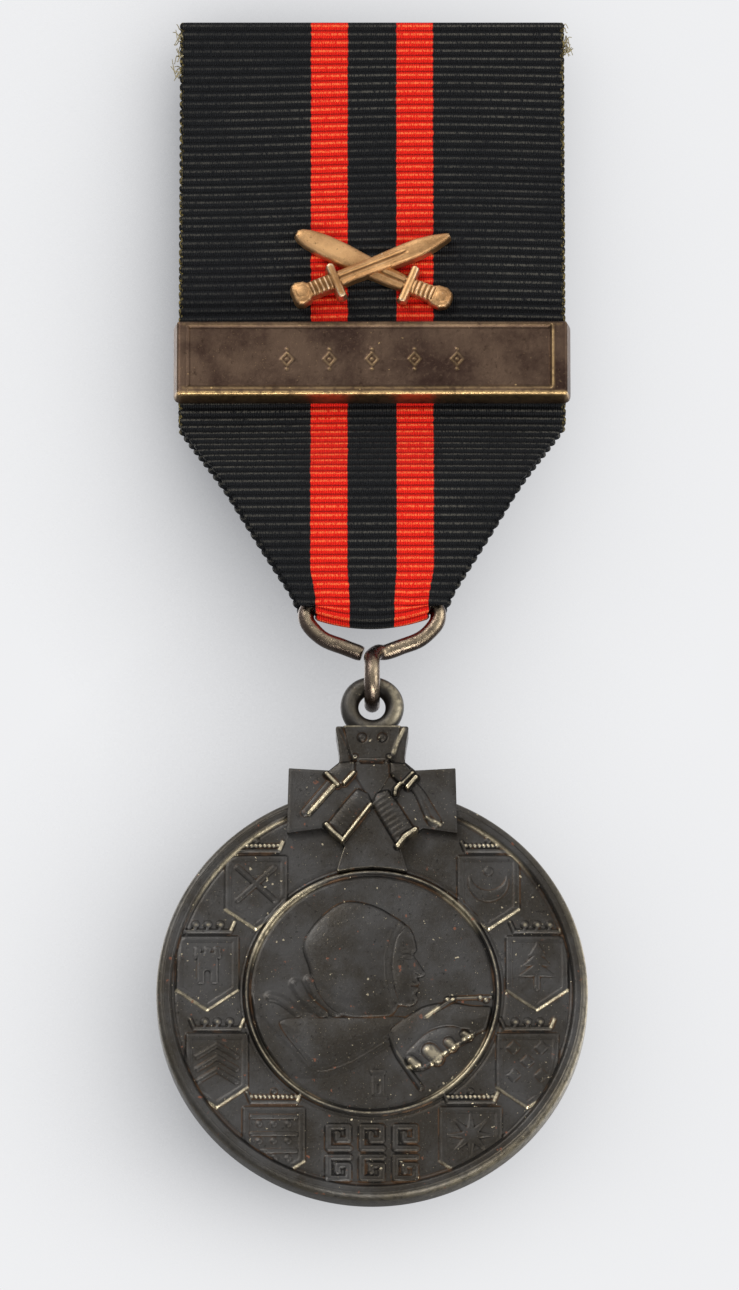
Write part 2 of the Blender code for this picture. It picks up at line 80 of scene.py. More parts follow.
def make_camera():
    data = bpy.data.cameras.new("camera")
    camera = bpy.data.objects.new("camera", data)
    bpy.context.scene.collection.objects.link(camera)
    look = Vector((0, math.cos(CAMERA_BELOW), math.sin(CAMERA_BELOW)))
    up = Vector((0, -math.sin(CAMERA_BELOW), math.cos(CAMERA_BELOW)))
    aim = disc_face + AIM_ABOVE_DISC * up - Vector((AIM_LEFT, 0, 0))
    camera.location = aim - look * CAMERA_DISTANCE
    camera.rotation_euler = look.to_track_quat("-Z", "Y").to_euler()
    data.sensor_width = 36
    data.lens = data.sensor_width * CAMERA_DISTANCE / PICTURE_HEIGHT
    data.clip_start = 0.01
    bpy.context.scene.camera = camera


LIGHT_TARGET = (0, 0, -0.045)
LIGHTS = [  # name, place, size, power
    ("key", (-0.35, -0.45, 0.35), (0.3, 0.3), 1.9),
    ("side", (0.6, -0.35, -0.05), (0.3, 0.6), 1.5),
    ("low", (0.12, -0.36, -0.58), (0.5, 0.12), 2.6),
    ("back_left", (-0.5, 0.7, 0.3), (0.5, 0.5), 1.6),
    ("back_right", (0.5, 0.7, 0.1), (0.5, 0.5), 1.0),
]


def area_light(name, place, size, power):
    data = bpy.data.lights.new(name, "AREA")
    data.shape = "RECTANGLE"
    data.size, data.size_y = size
    data.energy = power
    light = bpy.data.objects.new(name, data)
    light.location = place
    light.rotation_euler = (Vector(LIGHT_TARGET) - Vector(place)).to_track_quat("-Z", "Y").to_euler()
    bpy.context.scene.collection.objects.link(light)


make_camera()
for light in LIGHTS:
    area_light(*light)


# relief drawing: a shape is its signed distance in millimetres at every point, below zero inside

FAR = 9.0
MARGIN = 0.6


def at_nearby(x, z, corners, measure):
    """measure(x, z) within a margin of the corners' box, and FAR elsewhere."""
    corners = np.asarray(corners, float)
    low, high = corners.min(0) - MARGIN, corners.max(0) + MARGIN
    near = (x > low[0]) & (x < high[0]) & (z > low[1]) & (z < high[1])
    distance = np.full(x.shape, FAR)
    if near.any():
        distance[near] = measure(x[near], z[near])
    return distance


def circle(x, z, centre, radius):
    box = [(centre[0] - radius, centre[1] - radius), (centre[0] + radius, centre[1] + radius)]
    return at_nearby(x, z, box, lambda x, z: np.hypot(x - centre[0], z - centre[1]) - radius)


def segment_distance(x, z, a, b):
    along = (b[0] - a[0], b[1] - a[1])
    length2 = along[0] ** 2 + along[1] ** 2 + 1e-12
    share = np.clip(((x - a[0]) * along[0] + (z - a[1]) * along[1]) / length2, 0, 1)
    return np.hypot(x - a[0] - share * along[0], z - a[1] - share * along[1])


def stroke(x, z, points, radius):
    """A round-ended line through the points; radius may be one number or one at each end."""
    ends = radius if isinstance(radius, tuple) else (radius, radius)

    def measure(x, z):
        nearest = np.full(x.shape, FAR)
        for i, (a, b) in enumerate(zip(points, points[1:])):
            width = ends[0] + (ends[1] - ends[0]) * (i + 0.5) / max(1, len(points) - 1)
            nearest = np.minimum(nearest, segment_distance(x, z, a, b) - width)
        return nearest

    widest = max(ends)
    box = [(px + sx * widest, pz + sz * widest) for px, pz in points for sx in (-1, 1) for sz in (-1, 1)]
    return at_nearby(x, z, box, measure)


def polygon(x, z, corners):
    def measure(x, z):
        nearest = np.full(x.shape, FAR)
        inside = np.zeros(x.shape, bool)
        for a, b in zip(corners, [*corners[1:], corners[0]]):
            nearest = np.minimum(nearest, segment_distance(x, z, a, b))
            crosses = (a[1] > z) != (b[1] > z)
            rise = b[1] - a[1] if b[1] != a[1] else 1e-9
            inside ^= crosses & (x < (b[0] - a[0]) * (z - a[1]) / rise + a[0])
        return np.where(inside, -nearest, nearest)

    return at_nearby(x, z, corners, measure)


def box(x, z, centre, width, height, turn=0.0):
    c, s = math.cos(turn), math.sin(turn)
    corners = [(sx * width / 2, sy * height / 2) for sx, sy in ((-1, -1), (1, -1), (1, 1), (-1, 1))]
    return polygon(x, z, [(centre[0] + c * u - s * v, centre[1] + s * u + c * v) for u, v in corners])


def union(*shapes):
    return np.minimum.reduce(shapes)


def spline(a, b, c, d, t):
    """The point at t from 0 to 1 between b and c on a smooth curve through all four."""
    return 0.5 * (2 * b + (c - a) * t + (2 * a - 5 * b + 4 * c - d) * t**2 + (3 * b - a - 3 * c + d) * t**3)


def curved(points, closed=True, pieces=5):
    """Points on a smooth curve through the given ones."""
    knots = list(points)
    knots = [knots[-1], *knots, knots[0], knots[1]] if closed else [knots[0], *knots, knots[-1]]
    route = []
    for four in zip(knots, knots[1:], knots[2:], knots[3:]):
        for step in range(pieces):
            route.append(tuple(spline(*values, step / pieces) for values in zip(*four)))
    return route if closed else [*route, knots[-2]]


def ease(value):
    value = np.clip(value, 0, 1)
    return value * value * (3 - 2 * value)


def step_up(distance, slope=0.12):
    """1 inside the shape and 0 outside, with a wall that is slope wide."""
    return ease(0.5 - distance / slope)


def dome(distance, width):
    """0 at the shape's edge, rising like a quarter round to 1 over width."""
    share = np.clip(-distance / width, 0, 1)
    return np.sqrt(np.clip(1 - (1 - share) ** 2, 0, 1))


def over(height, distance, level, slope=0.12):
    """Lays a shape of its own level over what is there."""
    cover = step_up(distance, slope)
    return height * (1 - cover) + level * cover


def bell(distance, width):
    """1 on a line, fading on both sides of it."""
    return np.exp(-((distance / width) ** 2))


def ridge(distance, width):
    """1 on a shape, fading outside it."""
    return bell(np.maximum(distance, 0), width)


def groove(height, distance, depth, width=0.12):
    return height - depth * bell(distance, width)


# the medal's face

SHIELD_HALF, SHIELD_LOW, SHIELD_POINT = 2.35, 2.15, 1.6  # half width, half of the sides, the point's drop
CORONET_BASE = SHIELD_LOW + 0.42
BEADS, BEAD_PITCH = range(-5, 6), 0.34
LEAVES, LEAF_PITCH = (-1, 0, 1), 0.95
CORONETS = ["beads", "leaves", "leaves", "beads"]
SHIELD_PLACES = [(8.9, 8.75), (12.6, 2.3), (11.85, -5.45), (7.5, -11.3)]  # on the right; the left mirrors it


def saltire(x, z):
    return union(*[stroke(x, z, [(-1.4, -end), (1.4, end)], 0.17) for end in (1.3, -1.3)])


def tower(x, z):
    walls = [box(x, z, (0, -0.4), 1.5, 2.2), box(x, z, (0, 0.7), 2.0, 0.4)]
    walls += [box(x, z, (column, 1.05), 0.42, 0.6) for column in (-0.75, 0, 0.75)]
    door = stroke(x, z, [(0, -1.6), (0, -0.7)], 0.28)
    return np.maximum(union(*walls), -door)


def chevrons(x, z):
    bands = [[(-1.5, row - 0.7), (0, row + 0.25), (1.5, row - 0.7)] for row in (-0.9, 0.1, 1.1)]
    return union(*[stroke(x, z, band, 0.16) for band in bands])


def bars_and_rounds(x, z):
    rows = (-1.25, 0.1, 1.45)
    bars = [stroke(x, z, [(-1.7, row), (1.7, row)], 0.11) for row in rows]
    rounds = [circle(x, z, (column, row - 0.55), 0.2) for row in rows for column in (-1.1, 0, 1.1)]
    return union(*bars, *rounds)


def crescent(x, z):
    horns = np.maximum(circle(x, z, (0, 0.1), 1.5), -circle(x, z, (0, 0.85), 1.45))
    return union(horns, circle(x, z, (0, 1.0), 0.3))


def fir(x, z):
    trunk = stroke(x, z, [(0, -1.9), (0, 0.2)], 0.17)
    tiers = [
        [(-half, row - 0.35), (half, row - 0.35), (0, row + 0.75)]
        for row, half in ((-0.6, 1.35), (0.25, 1.0), (1.0, 0.65))
    ]
    return union(trunk, *[polygon(x, z, tier) for tier in tiers])


def lozenges(x, z):
    places = ((-1, 1), (1, 1), (0, 0), (-1, -1), (1, -1))
    return union(*[box(x, z, (i * 1.05, k * 1.1), 0.72, 0.72, math.pi / 4) for i, k in places])


def star(x, z):
    corners = []
    for i in range(16):
        reach = 1.75 if i % 2 == 0 else 0.62
        angle = math.pi * i / 8 + math.pi / 2
        corners.append((reach * math.cos(angle), reach * math.sin(angle)))
    return polygon(x, z, corners)


LEFT_CHARGES = [saltire, tower, chevrons, bars_and_rounds]
RIGHT_CHARGES = [crescent, fir, lozenges, star]


def coronet(x, z, kind):
    """A crown over a shield, around its lower middle: beads or three leaves on a band with flared ends."""
    shapes = [stroke(x, z, [(-1.75, 0), (1.75, 0)], 0.11)]
    shapes += [stroke(x, z, [(side * 1.75, 0), (side * 2.05, 0.75)], 0.1) for side in (-1, 1)]
    if kind == "beads":
        shapes += [circle(x, z, (i * BEAD_PITCH, 0.42), 0.13) for i in BEADS]
        shapes.append(circle(x, z, (0, 0.85), 0.2))
    else:
        shapes += [circle(x, z, (i * LEAF_PITCH, 0.55), 0.26) for i in LEAVES]
        shapes += [stroke(x, z, [(i * LEAF_PITCH, 0), (i * LEAF_PITCH, 0.4)], 0.1) for i in LEAVES]
    return union(*shapes)


def each_shield(x, z):
    """Every shield's side, number and own coordinates."""
    for side in (-1, 1):
        for number, (place_x, place_z) in enumerate(SHIELD_PLACES):
            yield side, number, x - side * place_x, z - place_z


def add_shields(height, x, z):
    half, low = SHIELD_HALF, SHIELD_LOW
    outline = [(-half, low), (half, low), (half, -low), (0, -low - SHIELD_POINT), (-half, -low)]
    for side, number, u, v in each_shield(x, z):
        shield = polygon(u, v, outline)
        charge = (LEFT_CHARGES if side < 0 else RIGHT_CHARGES)[number]
        height = height + 0.17 * step_up(shield, 0.16) * (0.85 + 0.15 * dome(shield, 2.4))
        height = height - 0.05 * step_up(shield + 0.42, 0.1) + 0.1 * step_up(charge(u, v + 0.1), 0.14)
        height = height + 0.15 * step_up(coronet(u, v - CORONET_BASE, CORONETS[number]), 0.16)
    return height * ease((15.3 - np.hypot(x, z)) / 0.2)


def key_block(x, z):
    """Two rows of squared spirals, the ornament under the medallion."""
    spiral = [
        (0.8, -0.85), (-0.8, -0.85), (-0.8, 0.85), (0.72, 0.85), (0.72, -0.2), (-0.1, -0.2), (-0.1, 0.3),
    ]
    shapes = []
    for row, flip in ((-11.55, 1), (-13.95, -1)):
        for column in (-2.55, 0.0, 2.55):
            shapes.append(stroke(x, z, [(column + u, row + flip * v) for u, v in spiral], 0.2))
    return union(*shapes)


MEDALLION = 9.55  # radius inside the ring's crest

HOOD = [
    (-2.1, 7.2), (-3.2, 6.6), (-4.3, 5.5), (-5.1, 4.3), (-5.2, 3.3), (-4.85, 2.2), (-4.55, 1.1),
    (-4.2, 0.1), (-3.6, -0.9), (-2.6, -1.7), (-0.4, -2.2), (1.3, -1.9), (2.0, -0.9), (1.75, 0.3),
    (1.55, 1.6), (1.6, 3.0), (1.9, 4.3), (2.5, 5.3), (1.5, 6.1), (0.4, 6.75), (-0.9, 7.15),
]
FACE = [
    (1.0, 5.6), (2.55, 5.35), (3.05, 4.75), (3.28, 4.0), (3.36, 3.4), (3.16, 3.02), (3.4, 2.5),
    (3.8, 1.85), (4.02, 1.5), (3.86, 1.27), (3.44, 1.16), (3.5, 0.95), (3.62, 0.72), (3.4, 0.5),
    (3.55, 0.28), (3.42, 0.03), (3.3, -0.15), (3.46, -0.5), (3.3, -0.9), (2.8, -1.12), (2.0, -1.05),
    (1.0, -1.6),
]
BACK_CAPE = [
    (-10.4, -0.2), (-7.7, -0.35), (-6.1, -1.2), (-3.6, -1.8), (0.2, -2.1), (2.3, -2.3), (3.1, -3.5),
    (2.0, -4.1), (1.2, -4.4), (0.1, -5.2), (-1.5, -6.15), (-3.4, -6.75), (-5.6, -6.8), (-8.6, -6.2),
    (-11.0, -3.4),
]
FRONT_PANEL = [
    (-6.7, -2.15), (-3.5, -2.05), (-0.8, -2.0), (2.0, -1.95), (2.55, -2.3), (1.65, -3.35), (0.7, -4.15),
    (-0.6, -5.0), (-2.1, -5.8), (-4.2, -6.3), (-5.7, -4.7), (-7.0, -2.9),
]
SLEEVE = [
    (1.35, -3.15), (2.2, -2.3), (3.3, -1.55), (4.2, -1.1), (5.9, -0.85), (7.6, -1.1), (9.4, -1.3),
    (10.3, -2.6), (8.9, -2.9), (7.8, -3.4), (6.7, -4.0), (5.7, -4.75), (4.7, -5.6), (3.4, -6.1),
    (2.7, -6.05), (1.9, -4.8),
]
GLOVE = [
    (2.5, -5.3), (3.3, -4.1), (4.5, -3.1), (5.9, -2.75), (7.0, -3.0), (7.9, -3.15), (7.5, -3.75),
    (6.5, -4.35), (5.6, -5.05), (4.6, -5.75), (3.4, -6.2),
]
FINGERS = [  # the curled fingers' worn tips: two ends and a radius
    ((2.95, -5.5), (3.35, -5.85), 0.30), ((4.4, -4.75), (4.95, -5.3), 0.50),
    ((5.85, -4.05), (6.15, -4.4), 0.30), ((7.05, -3.4), (7.35, -3.6), 0.26),
]
# painted highlights along the fingers' lower edges
FINGER_EDGE_HIGHLIGHTS = [
    [(2.7, -6.0), (3.6, -5.9)], [(4.55, -5.75), (5.6, -4.85)], [(6.0, -4.65), (6.5, -4.25)],
    [(7.0, -3.8), (7.6, -3.5)],
]
CUFF = [(1.35, -3.2), (1.9, -4.8), (2.7, -6.1), (3.7, -7.6)]
# a painted highlight line on the rifle's stock, and the rifle's raised dots, which also carry painted
# highlights
RIFLE_STOCK_HIGHLIGHT = [(4.2, -2.0), (5.05, -1.3)]
RIFLE_DOTS = [(5.75, -0.6), (6.15, -0.62), (8.25, -0.42), (8.7, -0.62)]
COLLAR_FOLDS = [
    [(-5.9, 0.7), (-5.2, -0.5), (-3.8, -1.7)], [(-4.8, 0.95), (-4.0, -0.5), (-2.7, -1.6)],
    [(-7.8, -0.4), (-6.9, -0.7), (-5.7, -1.7)],
]
HOOD_FOLDS = [[(-3.9, 0.4), (-3.0, -0.5), (-1.6, -1.1)], [(-0.9, 5.9), (0.3, 4.4), (0.6, 2.6)]]


def add_skyline(height, x, z):
    """Low ground under the sentry, and a plain post on it."""
    ground = polygon(x, z, [(-12, -8.1), (12, -8.1), (12, -12), (-12, -12)])
    height = height + 0.08 * step_up(ground, 0.15)
    height = over(height, box(x, z, (0.45, -7.2), 0.95, 2.0), 0.06)
    height = over(height, box(x, z, (0.45, -6.35), 1.15, 0.35), 0.09)
    return groove(height, stroke(x, z, [(0.45, -7.9), (0.45, -7.4)], 0.05), 0.08, 0.1)


def add_cape(height, x, z):
    cape = polygon(x, z, curved(BACK_CAPE))
    height = over(height, cape, -0.02 + 0.16 * dome(cape, 2.2), 0.2)
    fold = stroke(x, z, [(-9.2, -0.6), (-7.0, -3.2), (-4.7, -5.8)], 0.05)
    height = height + 0.1 * bell(fold, 0.28) * step_up(cape)
    for points in COLLAR_FOLDS:
        collar = stroke(x, z, curved(points, closed=False), 0.1)
        height = np.maximum(height, 0.2 * ridge(collar, 0.3) - 0.02)
    return height


def add_head(height, x, z):
    """A generic profile of plain proportions under a hood."""
    hood, face = polygon(x, z, curved(HOOD)), polygon(x, z, curved(FACE, pieces=3))
    height = over(height, face, 0.02 + 0.25 * dome(face, 1.5), 0.12)
    cheek = np.hypot((x - 2.45) / 0.85, (z - 0.75) / 1.0)
    height = height + 0.06 * np.exp(-(cheek**2)) * step_up(face)
    brow = stroke(x, z, [(2.35, 3.3), (2.8, 3.5), (3.25, 3.42)], 0.1)
    height = height + 0.05 * step_up(brow, 0.3) * step_up(face)
    socket = np.hypot((x - 2.72) / 0.55, (z - 2.85) / 0.34)
    height = height - 0.09 * np.exp(-(socket**2)) * step_up(face)
    lid = np.hypot((x - 2.72) / 0.36, (z - 2.8) / 0.17) - 1
    height = height + 0.07 * step_up(lid, 0.5)
    height = groove(height, stroke(x, z, [(3.0, 0.46), (3.5, 0.5)], 0.02), 0.06, 0.08)
    height = groove(height, stroke(x, z, [(3.35, 1.45), (3.52, 1.36)], 0.03), 0.05, 0.08)
    height = over(height, hood, 0.06 + 0.38 * dome(hood, 3.6), 0.14)
    hem = np.abs(stroke(x, z, curved(HOOD[12:18], closed=False), 0.0))
    height = height + (0.07 * bell(hem, 0.2) - 0.04 * bell(hem - 0.5, 0.16)) * step_up(hood)
    for points in HOOD_FOLDS:
        height = groove(height, stroke(x, z, curved(points, closed=False), 0.02), 0.035, 0.3)
    return height


def add_arms(height, x, z):
    """The cape's front, a sleeve, and a gloved hand on a rifle."""
    panel = polygon(x, z, curved(FRONT_PANEL))
    height = over(height, panel, 0.1 + 0.22 * dome(panel, 2.2) - 0.05 * ease((z + 5) / 3), 0.14)
    height = groove(height, np.where(z < -2.6, np.abs(panel + 0.22), FAR), 0.03, 0.1)
    sleeve = polygon(x, z, curved(SLEEVE))
    height = over(height, sleeve, 0.08 + 0.24 * dome(sleeve, 1.9), 0.16)
    glove = polygon(x, z, curved(GLOVE))
    height = over(height, glove, 0.24 + 0.14 * dome(glove, 0.7) - 0.1 * ease((z + 4.0) / 1.6), 0.3)
    cuff = stroke(x, z, curved(CUFF, closed=False), 0.06)
    height = np.maximum(height, 0.20 * ridge(cuff, 0.12))
    for first, last, radius in FINGERS:
        finger = stroke(x, z, [first, last], radius)
        height = np.maximum(height, (0.24 + 0.26 * dome(finger, radius)) * (finger < 0))
        height = groove(height, finger - 0.12, 0.08, 0.12)
    barrel = stroke(x, z, [(5.7, -0.5), (9.5, -0.35)], 0.10)
    barrel = union(barrel, *[circle(x, z, place, 0.2) for place in RIFLE_DOTS])
    height = np.maximum(height, -0.06 + 0.24 * step_up(barrel, 0.2))
    stock = stroke(x, z, [(4.0, -2.1), (6.2, -0.6)], 0.16)
    return np.maximum(height, 0.36 * step_up(stock, 0.2))


def add_figure(height, x, z):
    """A hooded sentry in profile over a low skyline."""
    for add in (add_skyline, add_cape, add_head, add_arms):
        height = add(height, x, z)
    return height


def face_height(x, z):
    """Height over the field of the medal's face, in millimetres."""
    radius = np.hypot(x, z)
    height = add_shields(np.zeros(x.shape), x, z)
    height = height + 0.17 * step_up(key_block(x, z), 0.16)
    height = height + 0.3 * ease((radius - 15.25) / 0.35)
    height = groove(height, radius - 15.1, 0.05, 0.1)
    inside = -0.16 + 0.1 * (radius / MEDALLION) ** 4
    clear = ease((9.3 - radius) / 0.25)
    height = np.where(radius < 9.6, inside * (1 - clear) + add_figure(inside, x, z) * clear, height)
    height = np.maximum(height, -0.14 + 0.42 * bell(radius - 9.62, 0.2))
    return groove(height, radius - 10.1, 0.05, 0.12)


# painted highlights on stretches of the two rings' crests: angle, spread, share
RING_HIGHLIGHTS = [(2.45, 0.36, 0.95), (0.78, 0.2, 0.75), (-0.75, 0.34, 0.7), (-2.3, 0.35, 0.35)]
RIM_HIGHLIGHTS = [(2.30, 0.30, 0.6), (0.88, 0.18, 0.7)]


def line_rub(x, z, points, share, width=0.10):
    """share along a line, fading at its sides."""
    return share * ridge(stroke(x, z, points, 0.03), width)


def arc_highlights(radius, angle, crest, width, spans):
    """Painted highlights on stretches of a ring."""
    amount = np.zeros(radius.shape)
    for place, spread, share in spans:
        amount = amount + share * np.exp(-(((angle - place) / spread) ** 4))
    return amount * bell(radius - crest, width)


def shield_wear_and_highlights(x, z, kind, side):
    """Painted highlights on the shield's two lower edges and its coronet's outer flare, and bright beads on
    its coronet that are partly wear and partly painted highlight.
    """
    half, low = SHIELD_HALF, SHIELD_LOW
    tip = (0, -low - SHIELD_POINT)
    amount = line_rub(x, z, [(-half, -low), tip], 0.85 if side < 0 else 0.35, 0.05)
    amount = amount + line_rub(x, z, [tip, (half, -low)], 0.85 if side > 0 else 0.5, 0.05)
    base = CORONET_BASE
    if kind == "beads":
        for i in BEADS:
            amount = amount + 0.75 * step_up(circle(x, z, (i * BEAD_PITCH, base + 0.42), 0.09), 0.1)
    else:
        for i in LEAVES:
            amount = amount + 0.5 * step_up(circle(x, z, (i * LEAF_PITCH + 0.05, base + 0.5), 0.1), 0.14)
    return amount + line_rub(x, z, [(1.8, base + 0.1), (2.05, base + 0.75)], 0.7, 0.06)


def figure_wear_and_highlights(x, z):
    # worn finger tips, and painted highlights along the fingers' lower edges, on the rifle's dots and stock,
    # and on the cuff
    rubs = [0.45 * step_up(stroke(x, z, [first, last], radius) + 0.1, 0.3) for first, last, radius in FINGERS]
    rubs += [line_rub(x, z, points, 0.95, 0.08) for points in FINGER_EDGE_HIGHLIGHTS]
    rubs += [0.7 * step_up(circle(x, z, place, 0.12), 0.1) for place in RIFLE_DOTS]
    return np.maximum.reduce([*rubs, line_rub(x, z, RIFLE_STOCK_HIGHLIGHT, 0.8), line_rub(x, z, CUFF[1:3], 0.12, 0.06)])


def face_wear_and_highlights(x, z):
    """0 to 1: how bright the metal is made: worn finger tips and coronet beads, and painted highlights on
    stretches of the rings and on the fingers' and the shields' lower edges.
    """
    radius, angle = np.hypot(x, z), np.arctan2(z, x)
    amount = figure_wear_and_highlights(x, z) * (radius < 9.2)
    amount = amount + arc_highlights(radius, angle, 9.5, 0.17, RING_HIGHLIGHTS)
    amount = amount + arc_highlights(radius, angle, 15.32, 0.10, RIM_HIGHLIGHTS)
    clear = (radius > 9.9) & (radius < 15.2)
    for side, number, u, v in each_shield(x, z):
        amount = amount + clear * shield_wear_and_highlights(u, v, CORONETS[number], side)
    return np.clip(amount, 0, 1)


def raised(measure, x, z, reach=0.16):
    """How far each point stands over its surroundings, in millimetres: more than zero on edges."""
    here = measure(x, z)
    around = np.zeros(x.shape)
    for i in range(8):
        angle = math.pi * i / 4
        around += measure(x + reach * math.cos(angle), z + reach * math.sin(angle)) / 8
    return here - around


# meshes


def build_mesh(name, points, faces, finish, sharp=None, keep=False, **numbers):
    """A piece from points in millimetres and arrays of faces, with a number at each point for each name.
    An edge between two sharp points is sharp, and keep leaves the faces' winding as it is."""
    data = bpy.data.meshes.new(name)
    corners = np.concatenate([np.asarray(f).ravel() for f in faces]).astype(np.int32)
    sizes = np.concatenate([np.full(len(f), len(f[0])) for f in faces])
    starts = np.concatenate([[0], np.cumsum(sizes)[:-1]]).astype(np.int32)
    data.vertices.add(len(points))
    data.vertices.foreach_set("co", (np.asarray(points) * MM).astype(np.float32).ravel())
    data.loops.add(len(corners))
    data.loops.foreach_set("vertex_index", corners)
    data.polygons.add(len(sizes))
    data.polygons.foreach_set("loop_start", starts)
    data.update(calc_edges=True)
    data.validate()
    if not keep:
        shape = bmesh.new()
        shape.from_mesh(data)
        bmesh.ops.recalc_face_normals(shape, faces=shape.faces)
        shape.to_mesh(data)
        shape.free()
    data.shade_smooth()
    for label, values in numbers.items():
        data.attributes.new(label, "FLOAT", "POINT").data.foreach_set("value", values.astype(np.float32))
    if sharp is not None:
        ends = np.zeros(len(data.edges) * 2, np.int32)
        data.edges.foreach_get("vertices", ends)
        both = sharp[ends.reshape(-1, 2)].all(1)
        data.attributes.new("sharp_edge", "BOOLEAN", "EDGE").data.foreach_set("value", both)
    data.materials.append(finish)
    piece = bpy.data.objects.new(name, data)
    bpy.context.scene.collection.objects.link(piece)
    return piece


def grid_faces(rows, columns, closed=False):
    """Faces of a grid of points stored row by row; closed joins each row's end to its start."""
    across = columns if closed else columns - 1
    row, column = np.meshgrid(np.arange(rows - 1), np.arange(across), indexing="ij")
    here, beside = row * columns + column, row * columns + (column + 1) % columns
    return np.stack([here, beside, beside + columns, here + columns], -1).reshape(-1, 4)


def band(a, b):
    """Faces between two closed loops of corners."""
    return np.stack([a, b, np.roll(b, -1), np.roll(a, -1)], 1)


def round_angles(steps):
    """Even angles all the way round."""
    return np.arange(steps) * 2 * math.pi / steps


def boundary_loop(faces):
    """The corners round the outside of the faces, in their order."""
    edges = np.concatenate([faces[:, [i, (i + 1) % 4]] for i in range(4)])
    keys = np.sort(edges, 1) @ np.array([faces.max() + 1, 1])
    _, place, count = np.unique(keys, return_index=True, return_counts=True)
    follow = {int(a): int(b) for a, b in edges[place[count == 1]]}
    start = next(iter(follow))
    loop, here = [start], follow[start]
    while here != start:
        loop.append(here)
        here = follow[here]
    return np.array(loop)


def outline_edge(x, z, outline):
    """Each point moved onto the outline, and the way out of it there."""
    step = 0.01
    distance = polygon(x, z, outline)
    out_x = polygon(x + step, z, outline) - polygon(x - step, z, outline)
    out_z = polygon(x, z + step, outline) - polygon(x, z - step, outline)
    length = np.hypot(out_x, out_z) + 1e-9
    out_x, out_z = out_x / length, out_z / length
    return x - distance * out_x, z - distance * out_z, out_x, out_z


def relief_plate(
    name, outline, height, depth, finish, cell, front, flare=0.0, turn=0.0, centre=(0, 0), rub=None
):
    """A plate with a relief on its front. The outline and height(x, z) are in its own plane, in millimetres.
    Its back is depth behind the relief's zero, front is that zero's y, and flare widens the back."""
    outline = [tuple(map(float, point)) for point in outline]
    low, high = np.min(outline, 0) - cell, np.max(outline, 0) + cell
    across = np.arange(low[0], high[0] + cell, cell)
    up = np.arange(low[1], high[1] + cell, cell)
    x, z = (part.ravel() for part in np.meshgrid(across, up))
    inside = polygon(x, z, outline) < 0
    faces = grid_faces(len(up), len(across))
    faces = faces[inside[faces].sum(1) >= 3]
    used = np.unique(faces)
    fresh = np.full(len(x), -1)
    fresh[used] = np.arange(len(used))
    faces, x, z, inside = fresh[faces], x[used], z[used], inside[used]
    loop = boundary_loop(faces)
    move = ~inside
    move[loop] = True
    x[move], z[move], _, _ = outline_edge(x[move], z[move], outline)
    _, _, out_x, out_z = outline_edge(x[loop] + 1e-4, z[loop] + 1e-4, outline)
    rise, wear = height(x, z), raised(height, x, z)
    rubbed = rub(x, z) if rub else np.zeros(len(x))
    count, edge = len(x), len(loop)
    points = np.zeros((count + edge, 3))
    points[:count] = np.stack([x, front - rise, z], 1)
    back_x, back_z = x[loop] + flare * out_x, z[loop] + flare * out_z
    points[count:] = np.stack([back_x, np.full(edge, front + depth), back_z], 1)
    behind = count + np.arange(edge)
    skirt = band(loop, behind)[:, ::-1]
    c, s = math.cos(turn), math.sin(turn)
    u, v = points[:, 0].copy(), points[:, 2].copy()
    points[:, 0], points[:, 2] = centre[0] + c * u - s * v, centre[1] + s * u + c * v
    sharp = np.zeros(len(points), bool)
    sharp[loop] = sharp[behind] = True
    wear = np.concatenate([wear, np.zeros(edge)])
    wear[loop] = np.maximum(wear[loop], 0.05)
    rubbed = np.concatenate([rubbed, np.zeros(edge)])
    parts = [faces, skirt, [behind[::-1]]]
    return build_mesh(name, points, parts, finish, sharp, wear=wear, rub=rubbed)


def round_grid(radius, cells):
    """A square grid of points pressed evenly into a circle, with its faces."""
    line = np.linspace(-1, 1, cells + 1)
    a, b = (part.ravel() for part in np.meshgrid(line, line))
    wide = np.abs(a) > np.abs(b)
    reach = np.where(wide, a, b)
    other = np.where(wide, b, a)
    angle = math.pi / 4 * other / np.where(reach == 0, 1, reach)
    angle = np.where(wide, angle, math.pi / 2 - angle)
    return radius * reach * np.cos(angle), radius * reach * np.sin(angle), grid_faces(cells + 1, cells + 1)


def polar_grid(inner, outer, rings, around):
    """Points on rings about the middle, with their faces."""
    angles = round_angles(around)
    radii = np.linspace(inner, outer, rings)
    x = (radii[:, None] * np.cos(angles)).ravel()
    z = (radii[:, None] * np.sin(angles)).ravel()
    return x, z, grid_faces(rings, around, closed=True)


def face_piece(name, x, z, faces, loops, depth=0.6):
    """A stretch of the medal's face, whose edge loops go straight back by depth."""
    rise, wear = face_height(x, z), raised(face_height, x, z)
    points = [np.stack([x, FIELD_Y - rise, z + DISC_Z], 1)]
    parts, start = [faces], len(x)
    behind = []
    for loop in loops:
        ring = start + np.arange(len(loop))
        points.append(np.stack([x[loop], np.full(len(loop), FIELD_Y + depth), z[loop] + DISC_Z], 1))
        parts.append(band(loop, ring)[:, ::-1])
        behind.append(ring)
        start += len(loop)
    if len(behind) == 1:
        parts.append([behind[0][::-1]])
    else:
        parts.append(band(*behind))
    extra = np.zeros(start - len(x))
    wear, rub = np.concatenate([wear, extra]), np.concatenate([face_wear_and_highlights(x, z), extra])
    piece = build_mesh(name, np.concatenate(points), parts, iron, wear=wear, rub=rub)
    return show(piece, "medal", "blackened_iron")


